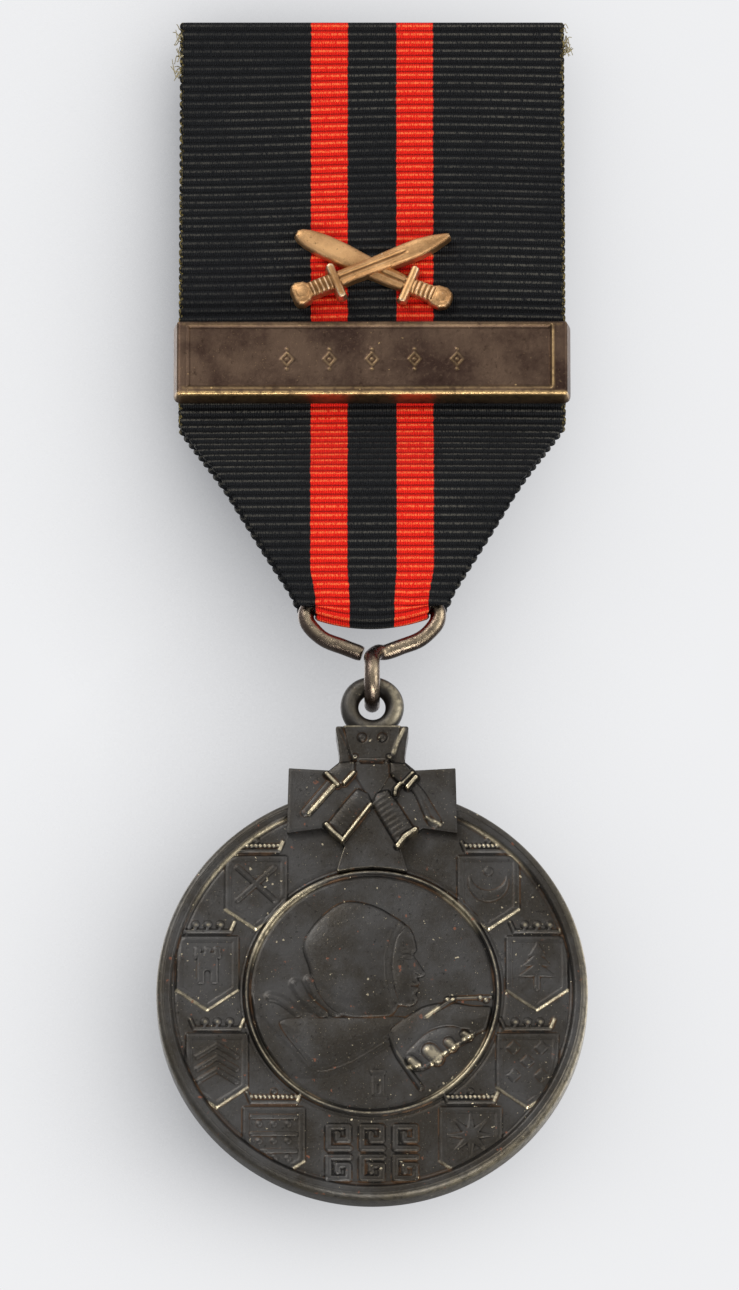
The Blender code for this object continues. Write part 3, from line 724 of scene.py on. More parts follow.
def tube_shape(route, radius, sides):
    """Points and faces of a round tube along the route, and each point's way out from the route."""
    route = np.asarray(route, float)
    ahead = np.gradient(route, axis=0)
    ahead /= np.linalg.norm(ahead, axis=1)[:, None]
    side = np.cross(ahead[0], [0.3, 0.9, 0.31])
    angles = round_angles(sides)
    out = []
    for along in ahead:
        side = side - along * (side @ along)
        side /= np.linalg.norm(side)
        out.append(np.cos(angles)[:, None] * side + np.sin(angles)[:, None] * np.cross(along, side))
    out = np.stack(out)
    points = (route[:, None] + radius[:, None, None] * out).reshape(-1, 3)
    ring = np.arange(sides)[None, :]
    faces = [grid_faces(len(route), sides, closed=True), ring[:, ::-1], len(points) - sides + ring]
    return points, faces, out.reshape(-1, 3)


def side_highlight(out, way, share=0.5):
    """The wear and rub numbers of round stock with a painted highlight on the side that faces one way; out is
    each point's way out."""
    way = np.array(way) / np.linalg.norm(way)
    facing = (out / np.linalg.norm(out, axis=1)[:, None]) @ way
    return {"wear": np.zeros(len(out)), "rub": share * ease((facing - 0.72) / 0.28)}


def lathe(name, profile, finish, steps, **numbers):
    """A closed shape turned round the medal's axis, from (radius, depth) points."""
    angles = round_angles(steps)
    rows = [
        np.stack([r * np.cos(angles), np.full(steps, MEDAL_Y + depth), DISC_Z + r * np.sin(angles)], 1)
        for r, depth in profile
    ]
    points = np.concatenate(rows)
    last = len(points) - steps + np.arange(steps)
    faces = [grid_faces(len(profile), steps, closed=True), [np.arange(steps)[::-1]], [last]]
    return build_mesh(name, points, faces, finish, **numbers)


def smooth_route(points, pieces):
    """Points on a smooth curve in space through the given ones."""
    knots = [np.array(p, float) for p in points]
    knots = [2 * knots[0] - knots[1], *knots, 2 * knots[-1] - knots[-2]]
    fours = zip(knots, knots[1:], knots[2:], knots[3:])
    return [*(spline(*four, step / pieces) for four in fours for step in range(pieces)), knots[-2]]


def show(piece, body, slot, *nodes):
    """Puts a piece on its body and hides the nodes it stands for; slot, the record's slot it is finished
    like, is not used.
    """
    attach(piece, body)
    if nodes:
        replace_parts(piece, *nodes)
    return piece


# materials


class Nodes:
    """A node tree, with short calls that add nodes and link them."""

    def __init__(self, tree):
        self.tree = tree

    def node(self, kind, **settings):
        made = self.tree.nodes.new(kind)
        for label, value in settings.items():
            setattr(made, label, value)
        return made

    def join(self, value, socket):
        if isinstance(value, bpy.types.NodeSocket):
            self.tree.links.new(value, socket)
        else:
            socket.default_value = (*value, 1) if isinstance(value, tuple) and len(value) == 3 else value

    def number(self, operation, *values, clamp=False):
        made = self.node("ShaderNodeMath", operation=operation, use_clamp=clamp)
        for value, socket in zip(values, made.inputs):
            self.join(value, socket)
        return made.outputs[0]

    def product(self, first, *others):
        for other in others:
            first = self.number("MULTIPLY", first, other)
        return first

    def ramp(self, value, low, high, to_low=0.0, to_high=1.0, kind="SMOOTHSTEP"):
        made = self.node("ShaderNodeMapRange", interpolation_type=kind)
        for given, socket in zip((value, low, high, to_low, to_high), made.inputs):
            self.join(given, socket)
        return made.outputs["Result"]

    def blend(self, share, a, b):
        """One colour over another."""
        made = self.node("ShaderNodeMix", data_type="RGBA")
        self.join(share, made.inputs["Factor"])
        self.join(a, made.inputs[6])
        self.join(b, made.inputs[7])
        return made.outputs[2]

    def cover(self, share, a, b):
        """One shader over another."""
        made = self.node("ShaderNodeMixShader")
        for value, socket in zip((share, a, b), made.inputs):
            self.join(value, socket)
        return made.outputs[0]


class Finish(Nodes):
    """A material's nodes, in millimetres of the object's own coordinates."""

    def __init__(self, name):
        self.material = bpy.data.materials.new(name)
        self.material.use_nodes = True
        super().__init__(self.material.node_tree)
        self.shader = self.tree.nodes["Principled BSDF"]
        scaled = self.node("ShaderNodeVectorMath", operation="SCALE")
        self.join(self.node("ShaderNodeTexCoord").outputs["Object"], scaled.inputs[0])
        scaled.inputs["Scale"].default_value = 1 / MM
        self.place = scaled.outputs["Vector"]

    def noise(self, scale, detail=4.0, rough=0.55, stretch=None):
        """Noise from 0 to 1, with scale lumps to the millimetre."""
        made = self.node("ShaderNodeTexNoise")
        place = self.place
        if stretch:
            stretched = self.node("ShaderNodeVectorMath", operation="MULTIPLY")
            self.join(place, stretched.inputs[0])
            stretched.inputs[1].default_value = stretch
            place = stretched.outputs["Vector"]
        self.join(place, made.inputs["Vector"])
        for label, value in (("Scale", scale), ("Detail", detail), ("Roughness", rough)):
            made.inputs[label].default_value = value
        return made.outputs["Fac"]

    def attribute(self, name):
        return self.node("ShaderNodeAttribute", attribute_name=name).outputs["Fac"]

    def set(self, **values):
        """Sockets by name, with _ for a space."""
        for label, value in values.items():
            self.join(value, self.shader.inputs[label.replace("_", " ")])

    def bump(self, height, depth):
        """depth is in millimetres."""
        made = self.node("ShaderNodeBump")
        self.join(height, made.inputs["Height"])
        made.inputs["Distance"].default_value = depth * MM
        self.join(made.outputs["Normal"], self.shader.inputs["Normal"])


RUST = (0.20, 0.06, 0.022)


def aged_metal(
    name, dark, light, worn, rough, worn_rough, *, rust=0.0, relief=True, grain=5.0, wear_at=(0.022, 0.080),
    rub=0.3, hollow_tone=(0.012, 0.011, 0.010), stain=(0.075, 0.040, 0.020),
):
    """Patinated metal: cloudy tones, bright where a number of the mesh or the noise rubs it (the mesh's rub
    number also carries painted highlights), and rust specks.
    relief says that the mesh has wear and rub numbers; without them, rub is how far the noise rubs it."""
    finish = Finish(name)
    speckle = finish.noise(grain, 6.0, 0.7)
    tone = finish.blend(finish.ramp(finish.noise(0.22, 5.0, 0.6), 0.35, 0.68), dark, light)
    tone = finish.blend(finish.product(finish.ramp(speckle, 0.50, 0.75), 0.7), tone, light)
    pits = finish.product(finish.ramp(finish.noise(grain * 0.6, 4.0, 0.7), 0.42, 0.28), 0.6)
    tone = finish.blend(pits, tone, hollow_tone)
    rubbed = finish.ramp(finish.noise(0.45, 4.0, 0.6), 0.42, 0.66)
    if relief:
        edge = worn_edges(finish, rubbed, wear_at)
        hollow = finish.ramp(finish.attribute("wear"), -0.006, -0.045)
        stained = finish.ramp(finish.noise(0.35, 4.0, 0.65), 0.46, 0.60)
        tone = finish.blend(finish.product(hollow, 0.85), tone, finish.blend(stained, hollow_tone, stain))
    else:
        edge = finish.product(rubbed, finish.ramp(finish.noise(2.2, 3.0, 0.6), 0.35, 0.7), rub)
    tone = finish.blend(edge, tone, worn)
    metallic = 1.0
    if rust:
        specks = finish.ramp(finish.noise(1.7, 3.0, 0.5), 0.70, 0.745)
        patches = finish.ramp(finish.noise(0.75, 5.0, 0.72), 0.665, 0.72, 0.0, 0.75)
        spots = finish.product(finish.number("MAXIMUM", specks, patches), rust)
        tone = finish.blend(spots, tone, RUST)
        metallic = finish.number("SUBTRACT", 1.0, spots, clamp=True)
    roughness = finish.number("MULTIPLY_ADD", speckle, 0.18, rough - 0.09)
    roughness = finish.number("SUBTRACT", roughness, finish.product(edge, rough - worn_rough), clamp=True)
    finish.set(Base_Color=tone, Roughness=roughness, Metallic=metallic)
    finish.bump(speckle, 0.033)
    return finish.material


def worn_edges(finish, rubbed, wear_at):
    """How bright the metal is: worn on the relief's edges, worn and with painted highlights where the rub
    number says, and in nicks.
    """
    patchy = finish.number("MULTIPLY_ADD", rubbed, 0.75, 0.25)
    edge = finish.number("MULTIPLY", finish.ramp(finish.attribute("wear"), *wear_at), patchy, clamp=True)
    edge = finish.product(edge, finish.ramp(finish.noise(2.4, 3.0, 0.6), 0.34, 0.62, 0.35, 1.0))
    scuffs = finish.ramp(finish.noise(1.9, 4.0, 0.65), 0.32, 0.58, 0.3, 1.0)
    # the rub number carries both wear and painted highlights
    edge = finish.number("ADD", edge, finish.product(finish.attribute("rub"), scuffs), clamp=True)
    dust = finish.product(finish.ramp(finish.noise(7.5, 2.0, 0.5), 0.70, 0.74), 0.22)
    nicks = finish.product(finish.ramp(finish.noise(2.3, 2.0, 0.5), 0.725, 0.755), 0.6)
    return finish.number("ADD", edge, finish.number("MAXIMUM", nicks, dust), clamp=True)


STRIPE_INNER, STRIPE_OUTER = (1.97, 2.07), (4.92, 4.82)  # a stripe's edges, from the ribbon's middle
# painted shade for the grooves between the ribs, in black and in red
BLACK_GROOVE_SHADE, RED_GROOVE_SHADE = (0.0016, 0.0016, 0.0018), (0.24, 0.003, 0.002)
FRAYED_EDGE = (0.30, 0.23, 0.075)


def ribbon_finish():
    """Black ribbed silk with two scarlet stripes, coloured by the place across the strip, with painted
    highlights on the ribs' crests and painted shade in the grooves between them.
    """
    finish = Finish("ribbon_cloth")
    across = finish.number("ABSOLUTE", finish.attribute("across"))
    wander = finish.noise(2.6, 2.0, 0.5, (0.4, 0.4, 1.0))
    place = finish.number("MULTIPLY_ADD", wander, 0.22, across)
    stripe = finish.product(finish.ramp(place, *STRIPE_INNER), finish.ramp(place, *STRIPE_OUTER))
    fibre = finish.noise(9.0, 3.0, 0.65, (1.0, 1.0, 0.3))
    slubs = finish.noise(0.5, 3.0, 0.6, (1.0, 1.0, 3.0))
    crest_sheen = finish.ramp(finish.noise(0.11, 2.0, 0.5), 0.36, 0.62, 0.3, 1.0)
    rib = finish.attribute("rib")
    warp = finish.node("ShaderNodeTexWave", bands_direction="X", wave_profile="SIN")
    finish.join(finish.place, warp.inputs["Vector"])
    for label, value in (("Scale", 1.75), ("Distortion", 0.8), ("Detail", 1.0)):
        warp.inputs[label].default_value = value
    warp = warp.outputs["Fac"]
    threads = finish.product(finish.ramp(warp, 0.25, 0.75), 0.35)
    # painted highlight along the ribs' tops: lighter in the black, orange in the red, varied in strength by
    # broad noise
    crest = finish.product(finish.ramp(rib, 0.88, 0.966), finish.ramp(fibre, 0.36, 0.60))
    black = finish.blend(finish.ramp(fibre, 0.35, 0.75), (0.0052, 0.0058, 0.0070), (0.0105, 0.0112, 0.0128))
    black = finish.blend(finish.ramp(slubs, 0.4, 0.8, 0.0, 0.3), black, (0.016, 0.016, 0.0155))
    black = finish.blend(threads, black, (0.003, 0.003, 0.0035))
    black = finish.blend(finish.product(crest, crest_sheen, 0.9), black, (0.085, 0.079, 0.064))
    red = finish.blend(finish.ramp(fibre, 0.3, 0.75), (0.80, 0.008, 0.003), (1.0, 0.024, 0.008))
    red = finish.blend(threads, red, (0.34, 0.003, 0.002))
    red = finish.blend(finish.product(crest, 0.9), red, (1.0, 0.19, 0.055))
    tone = finish.blend(stripe, black, red)
    # painted shade in the grooves between the ribs
    hollow = finish.ramp(rib, 0.0, 0.55, 0.8, 0.0)
    tone = finish.blend(hollow, tone, finish.blend(stripe, BLACK_GROOVE_SHADE, RED_GROOVE_SHADE))
    fray = finish.product(finish.ramp(across, 14.72, 14.96), finish.ramp(fibre, 0.50, 0.58))
    tone = finish.blend(fray, tone, FRAYED_EDGE)
    finish.set(Base_Color=tone, Roughness=0.6, Specular_IOR_Level=0.14)
    finish.bump(finish.number("ADD", warp, fibre), 0.045)
    return finish.material


def thread_finish(name, dark, light):
    finish = Finish(name)
    fibre = finish.noise(9.0, 3.0, 0.6)
    finish.set(Base_Color=finish.blend(fibre, dark, light), Roughness=0.75, Sheen_Weight=0.3)
    finish.bump(fibre, 0.04)
    return finish.material


def steel_finish():
    """Drawn wire: fine scratches along X, a few dull stains."""
    finish = Finish("needle_steel")
    scratches = finish.noise(7.0, 4.0, 0.6, (0.08, 1.0, 1.0))
    stains = finish.ramp(finish.noise(0.8, 4.0, 0.6), 0.55, 0.75)
    tone = finish.blend(scratches, (0.42, 0.42, 0.43), (0.66, 0.66, 0.66))
    tone = finish.blend(finish.product(stains, 0.6), tone, (0.17, 0.12, 0.08))
    rough = finish.number("MULTIPLY_ADD", stains, 0.3, 0.22)
    finish.set(Base_Color=tone, Roughness=rough, Metallic=1.0)
    finish.bump(scratches, 0.01)
    return finish.material


iron = aged_metal(
    "blackened_iron", (0.054, 0.047, 0.038), (0.093, 0.089, 0.084), (0.88, 0.75, 0.50), 0.44, 0.24, rust=0.8,
    wear_at=(0.055, 0.15),
)
gilt = aged_metal(
    "gilt_bronze", (0.38, 0.198, 0.080), (0.73, 0.43, 0.197), (0.98, 0.76, 0.50), 0.46, 0.34,
    wear_at=(0.02, 0.09), hollow_tone=(0.12, 0.060, 0.024), stain=(0.20, 0.105, 0.042),
)
gilt_plain = aged_metal(
    "gilt_bronze_plain", (0.45, 0.28, 0.15), (0.64, 0.43, 0.25), (0.9, 0.7, 0.48), 0.42, 0.32, relief=False
)
bronze = aged_metal(
    "patinated_bronze", (0.050, 0.029, 0.022), (0.142, 0.092, 0.062), (0.70, 0.47, 0.21), 0.46, 0.34,
    grain=3.0, wear_at=(0.03, 0.10), hollow_tone=(0.03, 0.018, 0.012),
)
bronze_plain = aged_metal(
    "patinated_bronze_plain", (0.09, 0.062, 0.044), (0.15, 0.107, 0.074), (0.42, 0.28, 0.14), 0.46, 0.32,
    relief=False, rub=0.5,
)
brass = aged_metal(
    "brooch_brass", (0.36, 0.25, 0.105), (0.50, 0.37, 0.17), (0.80, 0.62, 0.33), 0.36, 0.26, relief=False
)
wire = aged_metal(
    "tarnished_wire", (0.070, 0.047, 0.037), (0.155, 0.118, 0.093), (0.86, 0.68, 0.44), 0.26, 0.15,
    wear_at=(0.05, 0.1), hollow_tone=(0.05, 0.032, 0.024),
)
steel = steel_finish()
cloth = ribbon_finish()
sewing = thread_finish("sewing_thread", (0.010, 0.010, 0.011), (0.045, 0.044, 0.042))
frayed = thread_finish("frayed_thread", (0.16, 0.13, 0.07), (0.50, 0.42, 0.22))


# ribbon


def between(top, bottom, h):
    """0 at top, 1 at bottom, easing at both ends."""
    return ease((top - h) / (top - bottom))


def front_layer_y(h):
    return RIBBON_Y - BOW * between(BOW_TOP, BOW_BOTTOM, h) - KICK * between(KICK_TOP, KICK_BOTTOM, h)


def back_layer_y(h):
    spread = (2.0 - LAYER_PITCH) * between(KICK_TOP, SPREAD_BOTTOM, h)
    return front_layer_y(h) + LAYER_PITCH + spread


RIB_PITCH = 0.7
ROWS_PER_RIB = 5
CLOTH = 0.4
RIBBON_HALF = 15.0
COLUMNS = 60


def half_width(h):
    """Full width, then the straight taper where the sides are folded in, then the gather in the stirrup."""
    heights = (29.7, 30.3, 30.75, 31.1, 31.6, TAPER_BOTTOM, TAPER_TOP)
    return np.interp(h, heights, (4.25, 4.55, 5.2, 5.65, 5.95, 6.35, RIBBON_HALF))


def ribbon_path():
    """The cloth's middle down the front, round the fold and up the back, at even steps of its length: the
    length, y, height over the disc's middle, and 1 in the fold."""
    down = np.arange(RIBBON_TOP, FOLD, -0.01)
    turn = np.linspace(0, math.pi, 320)
    y = np.concatenate([front_layer_y(down), MEDAL_Y - np.cos(turn), back_layer_y(down[::-1])])
    h = np.concatenate([down, FOLD - np.sin(turn), down[::-1]])
    fold = np.concatenate([np.zeros(len(down)), np.ones(len(turn)), np.zeros(len(down))])
    length = np.concatenate([[0], np.cumsum(np.hypot(np.diff(y), np.diff(h)))])
    even = np.arange(0, length[-1], RIB_PITCH / ROWS_PER_RIB)
    return even, np.interp(even, length, y), np.interp(even, length, h), np.interp(even, length, fold)


def ribbon_side(face, share, path, rib):
    """One side of the strip, the front for 1 and the back for -1: its points, and their places across it."""
    even, y, h, fold = (part[:, None] for part in path)
    out_y, out_h = np.gradient(h, axis=0), -np.gradient(y, axis=0)
    size = np.hypot(out_y, out_h)
    near_fold = ease((34.5 - h) / 3.5)
    half = half_width(h) + 0.17 * (rib - 0.75) - (0.1 if face < 0 else 0)  # each rib stands out at the edges
    x = share * half
    across = np.clip(x * (1 + 0.10 * near_fold), -RIBBON_HALF, RIBBON_HALF)
    across = np.where(h > TAPER_TOP, share * RIBBON_HALF, across)
    edge = 1 - 0.35 * ease((np.abs(share) - 0.985) / 0.015)
    thick = face * (CLOTH / 2 + 0.19 * (rib - 0.7)) * edge
    pleat = 0.10 * near_fold * np.sin(2.4 * x + 0.6) * (1 - fold)
    lift = 0.8 * share**2 * ease((31.2 - h) / 0.9)
    sway = 0.6 + 0.4 * np.sin(even / 9)
    wave = 0.22 * sway * np.sin(x / 6.5 + 0.8) * ease((RIBBON_TOP - 0.4 - h) / 6)
    point_y = y + thick * out_y / size + pleat
    point_h = h + thick * out_h / size + lift + wave
    return np.stack([x, point_y, point_h + DISC_Z], -1).reshape(-1, 3), across.ravel()


def make_ribbon():
    path = ribbon_path()
    share = np.linspace(-1, 1, COLUMNS + 1)
    share = np.sign(share) * np.abs(share) ** 0.97
    rib = np.abs(np.sin(math.pi * path[0] / RIB_PITCH))[:, None] ** 0.8
    (front, front_across), (back, back_across) = (ribbon_side(face, share, path, rib) for face in (1, -1))
    count = len(front)
    top = grid_faces(len(rib), COLUMNS + 1)
    loop = boundary_loop(top)
    faces = [top, (top + count)[:, ::-1], band(loop, loop + count)[:, ::-1]]
    across = np.concatenate([front_across, back_across])
    ribs = np.tile(np.repeat(rib.ravel(), COLUMNS + 1), 2)
    piece = build_mesh("ribbon_strip", np.concatenate([front, back]), faces, cloth, across=across, rib=ribs)
    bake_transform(piece)
    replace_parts(piece, "ribbon")
    return piece


def make_frays():
    """Loose warp ends where the ribbon was cut."""
    chance = np.random.default_rng(7)
    points, faces, start = [], [], 0
    for i in range(34):
        side = -1 if i % 2 else 1
        x = side * (RIBBON_HALF - abs(chance.normal(0, 0.12)))
        h = RIBBON_TOP - chance.uniform(0.2, 4.5 if side < 0 else 2.6)
        y = front_layer_y(h) + chance.uniform(-0.2, 0.7)
        reach = side * chance.uniform(0.25, 0.8)
        route = [(x, y, h + DISC_Z)]
        for k in range(1, 4):
            bend_y, bend_h = chance.normal(0, 0.12), chance.normal(0, 0.3) * k / 2
            route.append((x + reach * k / 3, y + bend_y, h + bend_h + DISC_Z))
        thread, thread_faces, _ = tube_shape(smooth_route(route, 4), np.linspace(0.05, 0.03, 13), 6)
        points.append(thread)
        faces += [part + start for part in thread_faces]
        start += len(thread)
    piece = build_mesh("ribbon_frays", np.concatenate(points), faces, frayed)
    return show(piece, "pinned_ribbon", "ribbon_cloth")


# swords


GUARD_AT, GRIP_HALF, SWORD_HALF = -3.1, 0.62, 6.65


def sword_middle(u, bend):
    return bend * ease((u - GUARD_AT) / (SWORD_HALF - GUARD_AT))


def sword_outline(pommel, blade, guard, bend):
    """The outline of a sword along u with its point at the right, from its upper half; guard is how far the
    guard reaches below and above, and bend how far the point rises."""
    upper = [(u, sword_middle(u, bend) + v) for u, v in blade]
    lower = [(u, sword_middle(u, bend) - v) for u, v in reversed(blade)]
    below, above = guard
    head = [(-0.34, GRIP_HALF), (-0.34, above), (0, above + 0.12), (0.36, above), (0.34, GRIP_HALF)]
    tail = [(0.34, -GRIP_HALF), (0.36, -below), (0, -below - 0.12), (-0.34, -below), (-0.34, -GRIP_HALF)]
    head, tail = ([(GUARD_AT + u, v) for u, v in end] for end in (head, tail))
    return [*reversed(pommel), *head, *upper, *lower, *tail, *[(u, -v) for u, v in pommel]]


STRAIGHT_BLADE = [(-1.5, 0.6), (0.5, 0.66), (2.5, 0.74), (4.0, 0.74), (5.2, 0.56), (6.1, 0.33), (6.55, 0.17)]
STRAIGHT_POMMEL = [(-5.25, 0.62), (-5.5, 0.85), (-6.1, 0.98), (-6.5, 0.8), (-6.62, 0.45)]
SABRE_BLADE = [(-1.5, 0.70), (0.5, 0.82), (2.5, 0.92), (4.2, 0.90), (5.6, 0.74), (6.3, 0.52), (6.62, 0.25)]
SABRE_POMMEL = [(-4.9, 0.66), (-5.3, 0.86), (-6.0, 0.92), (-6.45, 0.66), (-6.62, 0.3)]


def sword_relief(outline, bend, groove_end, facing=1):
    """The relief of a sword whose point is at the right, or at the left where facing is -1."""

    def height(x, v):
        u = x * facing
        side = np.abs(v - sword_middle(u, bend))
        edge = polygon(u, v, outline)
        body = 0.32 * dome(edge, 0.55)
        fuller = ease((groove_end - u) / 0.6) * (u > GUARD_AT + 0.3)
        body = body - fuller * (0.10 * bell(side, 0.13) - 0.05 * bell(side - 0.27, 0.1))
        grip = (u > GUARD_AT - 2.1) & (u < GUARD_AT - 0.4) & (side < 0.58)
        body = body + np.where(grip, 0.075 * np.cos((u - GUARD_AT) * 2 * math.pi / 0.38), 0.0)
        guard = box(u, v, (GUARD_AT, 0.0), 0.66, 3.4)
        body = np.maximum(body, (0.2 + 0.3 * dome(guard, 0.35)) * step_up(guard, 0.1) * (edge < 0))
        body = body + 0.10 * dome(circle(u, v, (-5.85, 0.0), 0.5), 0.5)
        return np.where(edge < 0, body, 0.0)

    return height


def make_swords():
    tilt, bend = math.radians(22.5), 0.55
    straight = sword_outline(STRAIGHT_POMMEL, STRAIGHT_BLADE, (1.5, 1.15), 0.0)
    sabre = sword_outline(SABRE_POMMEL, SABRE_BLADE, (1.5, 1.35), bend)
    sabre_left = [(-u, v) for u, v in reversed(sabre)]
    centre = SWORDS + DISC_Z
    top = relief_plate(
        "straight_sword", straight, sword_relief(straight, 0.0, 3.2), CARRIER_Y + 5.15, gilt, 0.05, -5.25,
        flare=0.06, turn=tilt, centre=(0.0, centre),
    )
    under = relief_plate(
        "sabre", sabre_left, sword_relief(sabre, bend, 0.2, facing=-1), CARRIER_Y + 4.75, gilt, 0.05, -4.85,
        flare=0.06, turn=-tilt, centre=(0.0, centre - 0.25),
    )
    show(top, "pinned_ribbon", "gilt_bronze", "crossed_swords")
    show(under, "pinned_ribbon", "gilt_bronze")


# clasp


def marks(x, z):
    """Five lozenges along the clasp, each with a bead above, below and inside."""
    shapes = []
    for place in (-6.6, -3.3, 0.0, 3.3, 6.6):
        u, v = x - place, z + 0.05
        diamond = polygon(u, v, [(-0.55, 0), (0, -0.62), (0.55, 0), (0, 0.62)])
        shapes += [np.abs(diamond + 0.06) - 0.07, circle(u, v, (0, 0), 0.13)]
        shapes += [circle(u, v, (0, bead), 0.12) for bead in (-0.82, 0.82)]
    return union(*shapes)


CLASP_HALF = (15.15, 3.05)
CLASP_BEAD = [(14.03, -2.45), (14.03, 2.7)]  # a raised line near the right end


def clasp_height(x, z):
    wide, tall = CLASP_HALF
    outline = box(x, z, (0, 0), 2 * wide, 2 * tall)
    left, right, low, high = -wide + 0.85, wide - 1.25, -tall + 0.72, tall - 0.42
    field = polygon(x, z, [(left, low), (right, low), (right, high), (left, high)])
    height = -0.22 * (1 - dome(outline, 0.3)) - 0.20 * step_up(field, 0.36)
    height = height + 0.07 * bell(stroke(x, z, CLASP_BEAD, 0.02), 0.1)
    lip = stroke(x, z, [(-wide, -tall + 0.16), (wide, -tall + 0.16)], 0.02)
    height = height + 0.10 * bell(lip, 0.14) + 0.08 * step_up(marks(x, z), 0.14)
    dents = 0.007 * np.sin(1.1 * x + 1.3 * np.sin(1.6 * z)) * np.sin(1.9 * z + 0.9 * np.sin(0.7 * x))
    return height + dents + 0.05 * np.sin(x / 7)


def clasp_wear_and_highlights(x, z):
    """Painted highlights along and just above the lower edge, on the raised line near the right end and
    faintly along the upper edge, and wear on the raised marks.
    """
    wide, tall = CLASP_HALF
    lines = [
        ([(-wide, -tall + 0.14), (wide, -tall + 0.14)], 0.95, 0.13),
        ([(-wide + 0.5, tall - 0.3), (wide - 0.5, tall - 0.3)], 0.12, 0.1),
        (CLASP_BEAD, 0.45, 0.08),
        ([(-wide + 0.5, -tall + 0.62), (wide - 1.3, -tall + 0.62)], 0.3, 0.1),
    ]
    amount = sum(line_rub(x, z, points, share, width) for points, share, width in lines)
    return np.clip(amount + 0.22 * step_up(marks(x, z), 0.12), 0, 1)


def make_clasp():
    wide, tall = CLASP_HALF
    radius = 0.3
    rounded = []
    for right, up, start in ((-1, -1, 1.0), (1, -1, 1.5), (1, 1, 0.0), (-1, 1, 0.5)):
        for angle in math.pi * (start + np.arange(5) / 8):
            corner = (right * (wide - radius), up * (tall - radius))
            rounded.append((corner[0] + radius * math.cos(angle), corner[1] + radius * math.sin(angle)))
    piece = relief_plate(
        "clasp_plate", rounded, clasp_height, 1.36, bronze, 0.08, -5.9,
        flare=0.25, centre=(0, CLASP + DISC_Z), rub=clasp_wear_and_highlights,
    )
    show(piece, "clasp", "patinated_bronze", "clasp_bar")


# stirrup and eye


def stirrup_route():
    """The CAD's route: up the left arm, along the bar, down the right arm and round the small ring."""
    arm = [(5.1, 0, 0.9), (4.85, 0, 1.75), (3.75, 0, 2.85), (2.2, 0, 3.5)]
    corner = [(4.2, 0, 0), (4.84, 0, 0.26)]
    left = [(-x, y, z) for x, y, z in [*corner, *arm]]
    route = [(-0.74, 0, 4.08), *reversed(left), (-2, 0, 0), (0, 0, 0), (2, 0, 0), *corner, *arm]
    route += [(1.05, 0.02, 3.93), (0.42, 0.36, 4.06)]
    points = [(x, MEDAL_Y - forward, BAR + DISC_Z - down) for x, forward, down in route]
    for degrees in range(35, 326, 29):
        angle = math.radians(degrees)
        y = MEDAL_Y - 1.875 * math.sin(angle)
        points.append((0, y, SMALL_RING + DISC_Z + 1.875 * math.cos(angle)))
    return smooth_route(points, 9)


def make_stirrup():
    route = stirrup_route()
    along = np.linspace(0, 1, len(route))
    radius = 0.61 * (1 + 0.012 * np.sin(61 * along) + 0.01 * np.sin(137 * along + 1))
    rounding = (0.86, 0.95, 0.99)
    radius[:3] *= rounding
    radius[-3:] *= rounding[::-1]
    points, faces, out = tube_shape(route, radius, 28)
    # a painted highlight along the wire's front side
    rubbed = side_highlight(out, (0.35, -1.0, -0.15))
    piece = build_mesh("bent_wire", points, faces, wire, **rubbed)
    show(piece, "stirrup", "tarnished_wire", "suspension_wire")


def make_eye():
    """The eye's ring, which is brazed into the crown."""
    turns, sides, major = 128, 32, 1.74
    angles, around = round_angles(turns)[:, None], round_angles(sides)
    ring_x, ring_z, still = np.cos(angles), np.sin(angles), 0 * angles
    thick = 0.71 * (1 + 0.02 * np.sin(3 * angles + 1))
    out = np.stack([np.cos(around) * ring_x, np.sin(around) + still, np.cos(around) * ring_z], -1)
    middle = np.stack([major * ring_x, MEDAL_Y + still, major * ring_z + EYE + DISC_Z], -1)
    points = (middle + thick[:, :, None] * out).reshape(-1, 3)
    index = np.arange(turns * sides).reshape(turns, sides)
    ahead, beside = np.roll(index, -1, 0), np.roll(index, -1, 1)
    faces = np.stack([index, ahead, np.roll(ahead, -1, 1), beside], -1).reshape(-1, 4)
    # a painted highlight on the ring's front, strongest at the right
    rubbed = side_highlight(out.reshape(-1, 3), (0.5, -1.0, 0.1), 0.4)
    rubbed["rub"] *= np.repeat(0.25 + 0.75 * ease((np.cos(angles - 0.2) + 0.2) / 1.2), sides)
    show(build_mesh("eye_ring", points, [faces], iron, **rubbed), "medal", "blackened_iron", "medal_eye")


# medal


MEDALLION_EDGE, FACE_EDGE = 9.9, 15.98


def make_medal_faces():
    x, z, faces = round_grid(MEDALLION_EDGE, 256)
    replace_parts(face_piece("medallion", x, z, faces, [boundary_loop(faces)]), "medal_disc")
    around, rings = 960, 86
    x, z, faces = polar_grid(MEDALLION_EDGE, FACE_EDGE, rings, around)
    inner = np.arange(around)
    face_piece("medal_border", x, z, faces, [inner, inner + (rings - 1) * around])


